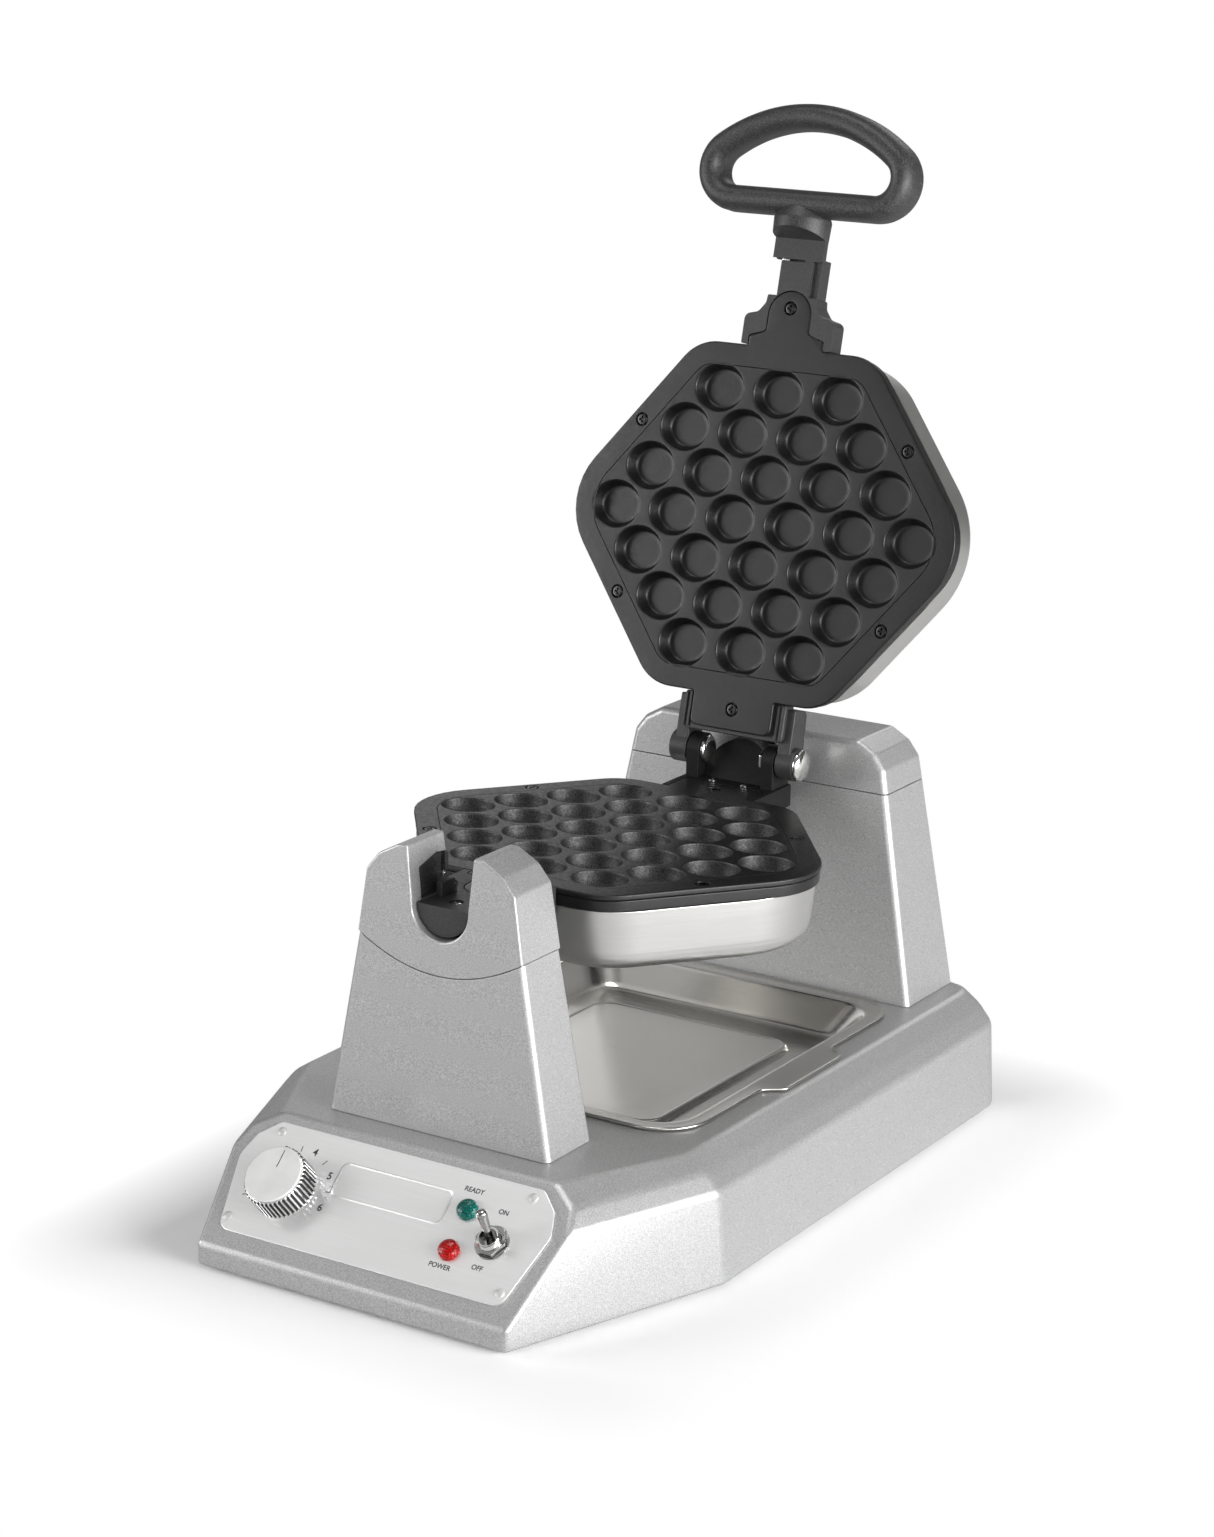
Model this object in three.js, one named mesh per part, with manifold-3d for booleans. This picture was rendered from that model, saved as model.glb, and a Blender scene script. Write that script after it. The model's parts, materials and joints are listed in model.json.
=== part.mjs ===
// A commercial rotary bubble-waffle iron with its lid open: a cast base with a sloped control panel,
// two pillars, and between them a rotor that carries the lower cooking half, with the upper half
// hinged to it. Millimetres, +Z up, +Y towards the rear pillar. The flip axis runs along Y.
import * as THREE from "three";
import { ConvexGeometry } from "three/addons/geometries/ConvexGeometry.js";
import { mergeVertices } from "three/addons/utils/BufferGeometryUtils.js";
import Module from "manifold-3d";

const wasm = await Module();
wasm.setup();

// ---- driving dimensions -------------------------------------------------------------------------
const GAP = 0.3; // running or assembly clearance between neighbouring pieces
const ORIGIN_Y = -8.5; // middle of the whole object's length, measured from the plate centre
const FOOT_STANDOFF = 2; // housing edge above the table

const AXIS_Z = 172.5; // flip axis and mating plane of the two cooking plates
const HINGE_Y = 121; // lid hinge behind the plate centre
const HINGE_UP = 13.4; // lid hinge above the mating plane
const HINGE_BOLT_R = 3.9;
const LID_OPEN = THREE.MathUtils.degToRad(103.8);

const BASE_FRONT_Y = -222.7;
const BASE_BACK_Y = 188.3;
const BASE_FRONT_HALF = 87.2;
const BASE_HALF = 129.8;
const FLARE_Y = -103; // where the flared front reaches full width
const FASCIA_H = 11.3;
const BASE_H = 61.4;
const BASE_WALL = 2.5;
const PANEL_SLOPE = THREE.MathUtils.degToRad(42.4);

const TRAY_MID_Y = 19.5;
const TRAY_HALF_X = 97.5;
const TRAY_HALF_Y = 111.5;
const TRAY_DEPTH = 16;
const SHEET = 1.2;

const CELL_PITCH_X = 35; // bubbles in one row
const CELL_PITCH_Y = 22.4; // one row to the next
const CELL_RX = 14.4;
const CELL_RY = 12.6;
const ROW_COUNTS = [3, 4, 5, 6, 5, 4, 3];

const HEX_SLANT = 96.8; // plate centre to a slanted edge
const HEX_END = 91; // plate centre to the front or rear edge
const HEX_ANGLE = Math.atan2(CELL_PITCH_X / 2, CELL_PITCH_Y); // direction of the slanted edges' normals
const HEX_SIDE_R = 37;
const HEX_END_R = 25;
const FLANGE_T = 3;
const RING_FROM = 3.2;
const RING_TO = 9;
const SHELL_SIDE_TO = 31;
const SHELL_TO = 40;
const SHELL_WALL = 1.5;

const JOURNAL_R = 14.6; // half-round front journal
const JOURNAL_FRONT_Y = -147;
const NOTCH_R = 15.8;
const HUB_R = 20;
const SHAFT_R = 14;
const GRIP_R = 22; // end corners of the D grip
const GRIP_BAR = 13.8; // grip section in the plane of the ring
const GRIP_DEPTH = 22.8;

// ---- materials ----------------------------------------------------------------------------------
const finish = (color, roughness, metalness) => ({ color, roughness, metalness });
const SILVER_PAINT = finish(0xb9bbbd, 0.42, 0.55);
const BRUSHED_STEEL = finish(0xc2bfb8, 0.32, 1);
const CAST_BLACK = finish(0x3a3a3b, 0.6, 0.3);
const BLACK_PLASTIC = finish(0x2e2e30, 0.55, 0);
const BLACK_RUBBER = finish(0x1c1c1d, 0.85, 0);
const BRIGHT_STEEL = finish(0xd7d7d5, 0.22, 1);
const GREEN_LENS = finish(0x0c7d68, 0.12, 0);
const RED_LENS = finish(0xc01d12, 0.12, 0);
const IVORY_PLASTIC = finish(0xd9d6cc, 0.5, 0);

// ---- solids -------------------------------------------------------------------------------------
function solidFrom(geometry) {
  const bare = geometry.clone();
  bare.deleteAttribute("normal");
  bare.deleteAttribute("uv");
  const merged = mergeVertices(bare, 1e-4);
  const vertProperties = merged.attributes.position.array;
  const triVerts = new Uint32Array(merged.index.array);
  return new wasm.Manifold(new wasm.Mesh({ numProp: 3, vertProperties, triVerts }));
}

function geometryFrom(solid) {
  const mesh = solid.getMesh();
  const geometry = new THREE.BufferGeometry();
  geometry.setAttribute("position", new THREE.BufferAttribute(mesh.vertProperties, 3));
  geometry.setIndex(new THREE.BufferAttribute(mesh.triVerts, 1));
  return geometry;
}

const join = (first, ...rest) =>
  geometryFrom(rest.reduce((sum, next) => sum.add(solidFrom(next)), solidFrom(first)));
const cut = (first, ...rest) =>
  geometryFrom(rest.reduce((sum, next) => sum.subtract(solidFrom(next)), solidFrom(first)));
const common = (first, second) => geometryFrom(solidFrom(first).intersect(solidFrom(second)));
const otherSide = (geometry) => geometryFrom(solidFrom(geometry).mirror([1, 0, 0]));

function block(x0, x1, y0, y1, z0, z1) {
  const box = new THREE.BoxGeometry(x1 - x0, y1 - y0, z1 - z0);
  return box.translate((x0 + x1) / 2, (y0 + y1) / 2, (z0 + z1) / 2);
}

// A round bar from one height to another along Z, or along X or Y when an axis is named.
function bar(radius, from, to, axis = "z", sides = 16) {
  const round = new THREE.CylinderGeometry(radius, radius, to - from, sides);
  round.translate(0, (from + to) / 2, 0);
  if (axis === "z") round.rotateX(Math.PI / 2);
  if (axis === "x") round.rotateZ(-Math.PI / 2);
  return round;
}

// A turned solid about Z from [radius, height] pairs that start and end on the axis.
function turned(profile, sides = 16) {
  const points = profile.map(([radius, height]) => new THREE.Vector2(radius, height));
  return new THREE.LatheGeometry(points, sides).rotateX(Math.PI / 2);
}

function slab(points, z0, z1) {
  const options = { depth: z1 - z0, bevelEnabled: false };
  return new THREE.ExtrudeGeometry(new THREE.Shape(points), options).translate(0, 0, z0);
}

// A flat outline drawn in X and Z and extruded along Y.
const upright = (pairs, y0, y1) =>
  slab(pairs.map(([x, z]) => new THREE.Vector2(x, z)), -y1, -y0).rotateX(Math.PI / 2);

const hull = (points) => new ConvexGeometry(points.map(([x, y, z]) => new THREE.Vector3(x, y, z)));

const arc = (cx, cy, radius, from, to, steps) =>
  Array.from({ length: steps + 1 }, (_, i) => {
    const angle = from + ((to - from) * i) / steps;
    return new THREE.Vector2(cx + radius * Math.cos(angle), cy + radius * Math.sin(angle));
  });

function roundedRectangle(halfX, halfY, radius, middleY, steps = 4) {
  const quarter = Math.PI / 2;
  const corners = [[1, 1], [-1, 1], [-1, -1], [1, -1]];
  return corners.flatMap(([sx, sy], i) => {
    const x = sx * (halfX - radius);
    const y = middleY + sy * (halfY - radius);
    return arc(x, y, radius, i * quarter, (i + 1) * quarter, steps);
  });
}

const ringAt = (outline, z) => outline.map((p) => [p.x, p.y, z]);
const mirrored = (points) => points.flatMap(([x, y, z]) => [[x, y, z], [-x, y, z]]);

// ---- scene graph --------------------------------------------------------------------------------
const machine = new THREE.Group();
machine.position.set(0, -ORIGIN_Y, FOOT_STANDOFF);
const panel = new THREE.Group();
panel.position.set(0, BASE_FRONT_Y, FASCIA_H);
panel.rotation.x = PANEL_SLOPE;
const rotor = new THREE.Group();
rotor.position.z = AXIS_Z;
const lid = new THREE.Group();
lid.position.set(0, HINGE_Y, AXIS_Z + HINGE_UP);
lid.rotation.x = -LID_OPEN;
const closedLid = new THREE.Group(); // lid parts are drawn as if closed, with z = 0 on the mating plane
closedLid.position.set(0, -HINGE_Y, -HINGE_UP);
lid.add(closedLid);
const lowerHalf = new THREE.Group(); // lower cooking half, turned over so that its depth points down
lowerHalf.rotation.y = Math.PI;
rotor.add(lowerHalf);
machine.add(panel, rotor, lid);

function part(group, name, geometry, look) {
  const mesh = new THREE.Mesh(geometry, new THREE.MeshStandardMaterial(look));
  mesh.name = name;
  group.add(mesh);
  return mesh;
}

// ---- base ---------------------------------------------------------------------------------------
// Y of the sloped panel's surface at a height, or of a surface that lies deeper by a wall thickness.
const panelY = (z, deeper) =>
  BASE_FRONT_Y + (z - FASCIA_H) / Math.tan(PANEL_SLOPE) + deeper / Math.sin(PANEL_SLOPE);

// Corner points of the faceted housing, all walls moved inwards by the same thickness.
function housingPoints(inset, bottom) {
  const rearRadius = 14 - inset;
  const rear = (half, y, z) => {
    const corner = arc(half - 14, y - 14, rearRadius, 0, Math.PI / 2, 3);
    return corner.map((p) => [p.x, p.y, z]);
  };
  const wallTop = 46;
  const chamferTop = 54.5;
  const top = BASE_H - inset;
  return mirrored([
    [BASE_FRONT_HALF - inset, BASE_FRONT_Y + inset, bottom],
    [BASE_FRONT_HALF - inset, panelY(FASCIA_H, inset), FASCIA_H],
    [BASE_HALF - inset, FLARE_Y, bottom],
    [95.5 - inset, panelY(wallTop, inset), wallTop],
    [126.5 - inset, FLARE_Y - 1, wallTop],
    [91.5 - inset, panelY(chamferTop, inset), chamferTop],
    [119 - inset, FLARE_Y - 1.5, chamferTop],
    [77.5 - inset, panelY(top, inset), top],
    [108.5 - inset, FLARE_Y - 2, top],
    ...rear(BASE_HALF, BASE_BACK_Y, bottom),
    ...rear(BASE_HALF - 2.5, BASE_BACK_Y - 0.4, wallTop),
    ...rear(BASE_HALF - 9.5, BASE_BACK_Y - 0.8, chamferTop),
    ...rear(BASE_HALF - 19, BASE_BACK_Y - 1.2, top),
  ]);
}

const WELL_FLOOR_Z = 36;
const wellPoints = (grow, floor, top) => [
  ...ringAt(roundedRectangle(90.5 + grow, 104.5 + grow, 22 + grow, TRAY_MID_Y, 3), floor),
  ...ringAt(roundedRectangle(90.5 + grow, 104.5 + grow, 22 + grow, TRAY_MID_Y, 3), top),
];

// Holes in the panel for the controls, in panel coordinates: across, up the slope, radius.
const KNOB_AT = [-54, 36.5];
const GREEN_AT = [42, 50];
const RED_AT = [42.5, 29];
const SWITCH_AT = [61.5, 38];
const KNOB_R = 16;
const LAMP_R = 5.3;
const BUSHING_R = 5.6;
const LAMP_BODY_R = 4.4;
const panelHoles = (from, to) => [
  bar(4, from, to).translate(...KNOB_AT, 0),
  bar(LAMP_BODY_R + GAP, from, to).translate(...GREEN_AT, 0),
  bar(LAMP_BODY_R + GAP, from, to).translate(...RED_AT, 0),
  bar(BUSHING_R + GAP, from, to).translate(...SWITCH_AT, 0),
];
const toBase = (geometry) => geometry.rotateX(PANEL_SLOPE).translate(0, BASE_FRONT_Y, FASCIA_H);

const CORD_X = -70;
const CORD_Z = 24;
const CORD_R = 3.6;

function buildBase() {
  const shell = cut(hull(housingPoints(0, 0)), hull(housingPoints(BASE_WALL, -1)));
  const withWell = cut(
    join(shell, hull(wellPoints(BASE_WALL, WELL_FLOOR_Z - BASE_WALL, BASE_H - 1))),
    hull(wellPoints(0, WELL_FLOOR_Z, BASE_H + 5)),
  );
  const cordHole = bar(7 + GAP, BASE_BACK_Y - 10, BASE_BACK_Y + 5, "y").translate(CORD_X, 0, CORD_Z);
  const housing = cut(withWell, cordHole, ...panelHoles(-12, 6).map(toBase));
  part(machine, "base_housing", housing, SILVER_PAINT);

  const coverOutline = [
    ...arc(BASE_HALF - 17, BASE_BACK_Y - 17, 14 - BASE_WALL - GAP, 0, Math.PI / 2, 3),
    ...arc(-BASE_HALF + 17, BASE_BACK_Y - 17, 14 - BASE_WALL - GAP, Math.PI / 2, Math.PI, 3),
    new THREE.Vector2(-BASE_HALF + 3.2, FLARE_Y),
    new THREE.Vector2(-BASE_FRONT_HALF + 4, BASE_FRONT_Y + 3.2),
    new THREE.Vector2(BASE_FRONT_HALF - 4, BASE_FRONT_Y + 3.2),
    new THREE.Vector2(BASE_HALF - 3.2, FLARE_Y),
  ];
  part(machine, "bottom_cover", slab(coverOutline, 0.5, 2), SILVER_PAINT);

  const feet = {
    foot_front_left: [-72, -185],
    foot_front_right: [72, -185],
    foot_rear_left: [-105, 160],
    foot_rear_right: [105, 160],
  };
  for (const [name, [x, y]] of Object.entries(feet)) {
    part(machine, name, bar(11, -FOOT_STANDOFF, 0.2), BLACK_RUBBER).position.set(x, y, 0);
  }

  const relief = cut(
    join(bar(7, -6, 4, "y", 12), bar(9, 3.3, 6, "y", 12), bar(6, 3, 10, "y", 12)),
    bar(CORD_R + 0.5, -20, 20, "y", 12),
  );
  part(machine, "cord_strain_relief", relief, BLACK_RUBBER).position.set(CORD_X, BASE_BACK_Y - 2.8, CORD_Z);
  const cordPath = new THREE.CatmullRomCurve3([
    new THREE.Vector3(0, -12, 0),
    new THREE.Vector3(0, 0, 0),
    new THREE.Vector3(0, 11, 0),
    new THREE.Vector3(0, 15, -2.5),
    new THREE.Vector3(0, 16.5, -8),
    new THREE.Vector3(0, 16.5, -17),
  ]);
  const cordSection = new THREE.Shape(arc(0, 0, CORD_R, 0, 2 * Math.PI, 8).slice(0, 8));
  const cord = new THREE.ExtrudeGeometry(cordSection, { steps: 12, extrudePath: cordPath });
  part(machine, "power_cord", cord, BLACK_RUBBER).position.set(CORD_X, BASE_BACK_Y - 2.8, CORD_Z);
}

// ---- pillars ------------------------------------------------------------------------------------
const PILLAR_FOOT_Z = BASE_H + 0.2;

// A tapered pillar from [half width, height] pairs, with Y of its front and back faces at a height.
const pillarHull = (sections, frontY, backY) =>
  hull(mirrored(sections.flatMap(([half, z]) => [[half, frontY(z), z], [half, backY(z), z]])));

function buildFrontPillar() {
  const frontY = (z) => -152.4 + (z - BASE_H) * 0.0195;
  const backY = (z) => -114.7 - (z - BASE_H) * 0.0346;
  const whole = pillarHull(
    [[62.9, PILLAR_FOOT_Z], [41.5, 185.5], [34.7, 193.7], [23.5, 199.8]], frontY, backY);
  const hollow = pillarHull(
    [[59.5, BASE_H - 5], [46, 130]], (z) => frontY(z) + 3.5, (z) => backY(z) - 3.5);

  // The seam between pillar and cap sags in the middle.
  const seam = (rise) => {
    const curve = Array.from({ length: 13 }, (_, i) => {
      const x = -60 + i * 10;
      return [x, 139.9 + 13.9 * (x / 46) ** 2 + rise];
    });
    return upright([...curve, [60, 260], [-60, 260]], -160, -100);
  };
  const notch = upright(
    [
      ...arc(0, AXIS_Z, NOTCH_R, -Math.PI, 0, 14).map((p) => [p.x, p.y]),
      [NOTCH_R + 2.8, 205],
      [-NOTCH_R - 2.8, 205],
    ],
    -160,
    -100,
  );
  // A pocket in the left wall of the notch holds the lock keeper.
  const pocketYZ = (shrink) => [
    [-142 + shrink, 174.5 + shrink],
    [-142 + shrink, 187.5 - shrink / 2],
    [-127, 191.5 - shrink],
    [-116, 189 - shrink],
    [-116, 174.5 + shrink],
  ];
  const pocket = hull(pocketYZ(0).flatMap(([y, z]) => [[-21, y, z], [-10, y, z]]));
  const keeper = common(
    hull(pocketYZ(GAP).flatMap(([y, z]) => [[-20.7, y, z], [-18.9, y, z]])),
    block(-30, 0, -150, backY(182) - 0.5, 150, 200),
  );
  part(machine, "front_pillar", cut(whole, hollow, seam(-0.15)), SILVER_PAINT);
  part(machine, "front_pillar_cap", cut(common(whole, seam(0.15)), notch, pocket), SILVER_PAINT);
  part(machine, "lock_keeper", keeper, BLACK_PLASTIC);
}

function buildRearPillar() {
  const frontY = (z) => 133.9 + (z - BASE_H) * 0.0552;
  const backY = (z) => 186 - (z - BASE_H) * 0.0262;
  const whole = pillarHull(
    [[99, PILLAR_FOOT_Z], [76, 184.3], [70, 192.3], [59.7, 198.2]], frontY, backY);
  const hollow = pillarHull(
    [[95, BASE_H - 5], [77, 146]], (z) => frontY(z) + 3.5, (z) => backY(z) - 3.5);
  const above = block(-120, 120, 120, 200, AXIS_Z - 0.4, 260);
  const below = block(-120, 120, 120, 200, 0, AXIS_Z - 0.7);
  const seat = bar(HUB_R + GAP, 125, 166, "y", 24).translate(0, 0, AXIS_Z);
  const wireway = bar(7, 140, 172, "y", 12).translate(0, 0, AXIS_Z);
  part(machine, "rear_pillar", cut(common(whole, below), hollow, seat, wireway), SILVER_PAINT);
  part(machine, "rear_pillar_cap", cut(common(whole, above), seat, wireway), SILVER_PAINT);
  const bearing = cut(bar(HUB_R, 143, 165, "y", 24), bar(SHAFT_R + GAP, 140, 170, "y", 24));
  part(machine, "rear_bearing", bearing, BRIGHT_STEEL).position.z = AXIS_Z;
}

// ---- controls, in panel coordinates -------------------------------------------------------------
function buildPanel() {
  const PLATE_FROM = 0.2;
  const PLATE_TO = 1.2;
  const outline = [
    ...arc(79, 16, 6.3, -Math.PI / 2, -0.1, 3),
    new THREE.Vector2(88.3, 48),
    new THREE.Vector2(84, 59.2),
    new THREE.Vector2(73.5, 69),
  ];
  const whole = [...outline, ...outline.map((p) => new THREE.Vector2(-p.x, p.y)).reverse()];
  const rivets = {
    upper_left: [-72, 63.8],
    lower_left: [-77.5, 16.4],
    upper_right: [71, 63.8],
    lower_right: [76.7, 16],
  };
  const rivetHoles = Object.values(rivets).map(([u, s]) => bar(1.4, -1, 3, "z", 8).translate(u, s, 0));
  const plate = cut(slab(whole, PLATE_FROM, PLATE_TO), ...panelHoles(-1, 3), ...rivetHoles);
  part(panel, "control_plate", plate, BRUSHED_STEEL);
  for (const [name, at] of Object.entries(rivets)) {
    const rivet = turned([[0, 0.4], [1.1, 0.4], [1.1, 1.4], [2.4, 1.4], [1.7, 2.2], [0, 2.5]], 10);
    part(panel, "panel_rivet_" + name, rivet, BRIGHT_STEEL).position.set(...at, 0);
  }

  // Thermostat under the panel, with its stem inside the knob.
  const thermostat = join(bar(14, -24, -4.2), bar(2.8, -5, 9, "z", 10));
  part(panel, "thermostat", thermostat, BRIGHT_STEEL).position.set(...KNOB_AT, 0);
  const skirt = [[KNOB_R, 2], [KNOB_R, 15], [KNOB_R - 0.8, 16], [0, 16]];
  const knob = turned([[0, 10], [3.1, 10], [3.1, 2], ...skirt], 32);
  part(panel, "thermostat_knob", knob, BRIGHT_STEEL).position.set(...KNOB_AT, 0);
  const face = cut(bar(KNOB_R - 1.4, 16.3, 17, "z", 32), block(-0.6, 0.6, 4, 14, 16.7, 18));
  part(panel, "knob_face", face, IVORY_PLASTIC).position.set(...KNOB_AT, 0);

  const lamps = { ready_lamp: [GREEN_AT, GREEN_LENS], power_lamp: [RED_AT, RED_LENS] };
  for (const [name, [at, look]] of Object.entries(lamps)) {
    const body = [[0, -9], [LAMP_BODY_R, -9], [LAMP_BODY_R, 1.5], [LAMP_R, 1.5], [LAMP_R, 2.5]];
    const lens = turned([...body, [4.2, 4.2], [2.2, 5.2], [0, 5.5]], 16);
    part(panel, name, lens, look).position.set(...at, 0);
  }

  // Toggle switch: body, threaded bushing, hex nut and lever.
  const bore = turned([[0, -3.6], [3.6, -3.6], [3.6, 2], [4.6, 8], [0, 8]], 16);
  const body = cut(join(block(-7, 7, -13, 13, -21, -4.2), bar(BUSHING_R, -4.3, 7)), bore);
  part(panel, "switch_body", body, BRIGHT_STEEL).position.set(...SWITCH_AT, 0);
  const nut = cut(bar(8.1, 1.5, 4.3, "z", 6), bar(BUSHING_R + 0.2, 0, 6));
  part(panel, "switch_nut", nut, BRIGHT_STEEL).position.set(...SWITCH_AT, 0);
  const ball = [[0, -2.4], [1.9, -1.6], [2.4, 0]];
  const lever = turned([...ball, [1.8, 3], [2.6, 17], [2.6, 18.6], [1.5, 20], [0, 20.4]], 12);
  const leverMesh = part(panel, "toggle_lever", lever, BRIGHT_STEEL);
  leverMesh.position.set(SWITCH_AT[0], SWITCH_AT[1], 2);
  leverMesh.rotation.x = -THREE.MathUtils.degToRad(16);
}

// ---- drip tray ----------------------------------------------------------------------------------
function buildTray() {
  const rimZ = BASE_H + 1;
  const floorZ = rimZ - TRAY_DEPTH;
  const tabCorners = [[94, -18], [104.5, -10], [107.5, -8], [107.5, 46], [104.5, 52], [94, 56]];
  const tab = slab(tabCorners.map(([x, y]) => new THREE.Vector2(x, y)), rimZ, rimZ + SHEET);
  const rim = slab(roundedRectangle(TRAY_HALF_X, TRAY_HALF_Y, 26, TRAY_MID_Y), rimZ, rimZ + SHEET);
  const tub = (shrink, floor, top) =>
    hull([
      ...ringAt(roundedRectangle(74 - shrink, 88 - shrink, 16 - shrink, TRAY_MID_Y, 3), floor),
      ...ringAt(roundedRectangle(87 - shrink, 101 - shrink, 20 - shrink, TRAY_MID_Y, 3), top),
    ]);
  const platform = (shrink, z0, z1) =>
    hull([
      ...ringAt(roundedRectangle(60 - shrink, 66 - shrink, 12 - shrink, TRAY_MID_Y, 3), z0),
      ...ringAt(roundedRectangle(57 - shrink, 63 - shrink, 10 - shrink, TRAY_MID_Y, 3), z1),
    ]);
  const dished = cut(
    join(rim, tab, otherSide(tab), tub(0, floorZ - SHEET, rimZ + 0.1)),
    tub(SHEET, floorZ, rimZ + SHEET + 1),
  );
  const tray = cut(
    join(dished, platform(0, floorZ - 0.5, floorZ + 3)),
    platform(SHEET, floorZ - SHEET - 1, floorZ + 3 - SHEET),
  );
  part(machine, "drip_tray", tray, BRUSHED_STEEL);
}

// ---- cooking halves: z = 0 on the mating plane, depth along +z ----------------------------------
// The hexagon's outline with its edges moved inwards, its corners rounded about fixed centres.
function hexOutline(inset, steps = 3) {
  const sideX = (HEX_SLANT - HEX_SIDE_R) / Math.cos(HEX_ANGLE);
  const endY = HEX_END - HEX_END_R;
  const endX = (HEX_SLANT - HEX_END_R - Math.sin(HEX_ANGLE) * endY) / Math.cos(HEX_ANGLE);
  const side = HEX_SIDE_R - inset;
  const end = Math.max(HEX_END_R - inset, 2);
  const half = Math.PI / 2;
  return [
    ...arc(sideX, 0, side, -HEX_ANGLE, HEX_ANGLE, steps),
    ...arc(endX, endY, end, HEX_ANGLE, half, steps),
    ...arc(-endX, endY, end, half, Math.PI - HEX_ANGLE, steps),
    ...arc(-sideX, 0, side, Math.PI - HEX_ANGLE, Math.PI + HEX_ANGLE, steps),
    ...arc(-endX, -endY, end, Math.PI + HEX_ANGLE, 3 * half, steps),
    ...arc(endX, -endY, end, 3 * half, 2 * Math.PI - HEX_ANGLE, steps),
  ];
}

function cellCentres() {
  return ROW_COUNTS.flatMap((count, row) =>
    Array.from({ length: count }, (_, i) => {
      const x = (i - (count - 1) / 2) * CELL_PITCH_X;
      return [x, (row - 3) * CELL_PITCH_Y];
    }));
}

// The plate's tongues: a round-ended one at the front and a square one at the rear.
const frontTongue = (grow) => [
  new THREE.Vector2(-22 - grow, -88),
  new THREE.Vector2(-22 - grow, -97 - grow),
  ...arc(0, -108, 12.5 + grow, Math.PI, 2 * Math.PI, 8),
  new THREE.Vector2(22 + grow, -97 - grow),
  new THREE.Vector2(22 + grow, -88),
];
const rearTongue = (grow) => roundedRectangle(24 + grow, 14.4 + grow, 4, 94.3, 2);
const FLANGE_SCREWS = {
  front_right: [79, -45.9],
  front_left: [-79, -45.9],
  rear_right: [79, 45.9],
  rear_left: [-79, 45.9],
};
const TONGUE_SCREWS = { tongue_front: [0, -111.6], tongue_rear: [0, 97.8] };
const SCREW_HEAD_R = 3.3;
const SCREW_SHANK_R = 1.7;

function buildHalf(group, prefix, cellDepth, cellFloor) {
  const from = GAP / 2;
  const flange = join(
    slab(hexOutline(0), from, FLANGE_T),
    slab(frontTongue(0), from, FLANGE_T),
    slab(rearTongue(0), from, FLANGE_T),
    slab(hexOutline(15), FLANGE_T - 1, cellDepth + 3),
  );
  const cell = new THREE.CylinderGeometry(cellFloor, 1, cellDepth + 1, 10);
  cell.rotateX(Math.PI / 2).translate(0, 0, (cellDepth - 1) / 2 + from);
  const cells = cellCentres().map(([x, y]) => cell.clone().scale(CELL_RX, CELL_RY, 1).translate(x, y, 0));
  const screws = Object.entries({ ...FLANGE_SCREWS, ...TONGUE_SCREWS });
  const screwHoles = screws.map(([, [x, y]]) =>
    join(
      bar(SCREW_HEAD_R + 0.25, -1, 2, "z", 10),
      bar(SCREW_SHANK_R + 0.25, 1, 12, "z", 8),
    ).translate(x, y, 0));
  part(group, prefix + "_plate", cut(flange, ...cells, ...screwHoles), CAST_BLACK);
  for (const [name, [x, y]] of screws) {
    const screw = join(
      bar(SCREW_HEAD_R, 0.4, 1.75, "z", 10),
      bar(SCREW_SHANK_R, 1.5, RING_TO - 1, "z", 8),
    );
    part(group, prefix + "_screw_" + name, screw, BRIGHT_STEEL).position.set(x, y, 0);
  }

  const ringHole = slab(hexOutline(6), 0, 20);
  const boss = bar(4.5, RING_FROM, RING_TO, "z", 10);
  const bosses = Object.values(FLANGE_SCREWS).map(([x, y]) => boss.clone().translate(x, y, 0));
  const rail = cut(slab(hexOutline(0.8), RING_FROM, RING_TO), ringHole);
  const ring = cut(join(rail, ...bosses), ...screwHoles);
  part(group, prefix + "_ring", ring, CAST_BLACK);

  const levels = (wall, start) => {
    const draft = 2;
    const fillet = SHELL_TO - SHELL_SIDE_TO;
    const rounding = [0, 30, 60, 90].map(THREE.MathUtils.degToRad).map((angle) => [
      1 + draft + fillet * (1 - Math.cos(angle)) + wall,
      SHELL_SIDE_TO + (fillet - wall) * Math.sin(angle),
    ]);
    return [[1 + wall, start], ...rounding];
  };
  const shellHull = (wall, start) =>
    hull(levels(wall, start).flatMap(([inset, z]) => ringAt(hexOutline(inset), z)));
  const shell = cut(shellHull(0, RING_TO + 0.2), shellHull(SHELL_WALL, RING_TO - 1));
  part(group, prefix + "_shell", shell, BRUSHED_STEEL);

  // Tubular heating element: an open hexagonal loop with both ends at the rear.
  const loop = hexOutline(34, 1).map((p) => new THREE.Vector3(p.x, p.y, 0));
  const start = loop.findIndex((p) => p.y > 50 && p.x < 30);
  const ends = [new THREE.Vector3(8, 78, 0), new THREE.Vector3(-8, 78, 0)];
  const order = [...loop.slice(start), ...loop.slice(0, start)];
  const path = new THREE.CatmullRomCurve3([ends[1], ...order, ends[0]], false, "catmullrom", 0.2);
  const section = new THREE.Shape(arc(0, 0, 3.2, 0, 2 * Math.PI, 6).slice(0, 6));
  const element = new THREE.ExtrudeGeometry(section, { steps: 40, extrudePath: path });
  part(group, prefix + "_heater", element.translate(0, 0, 25), CAST_BLACK);
}

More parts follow.
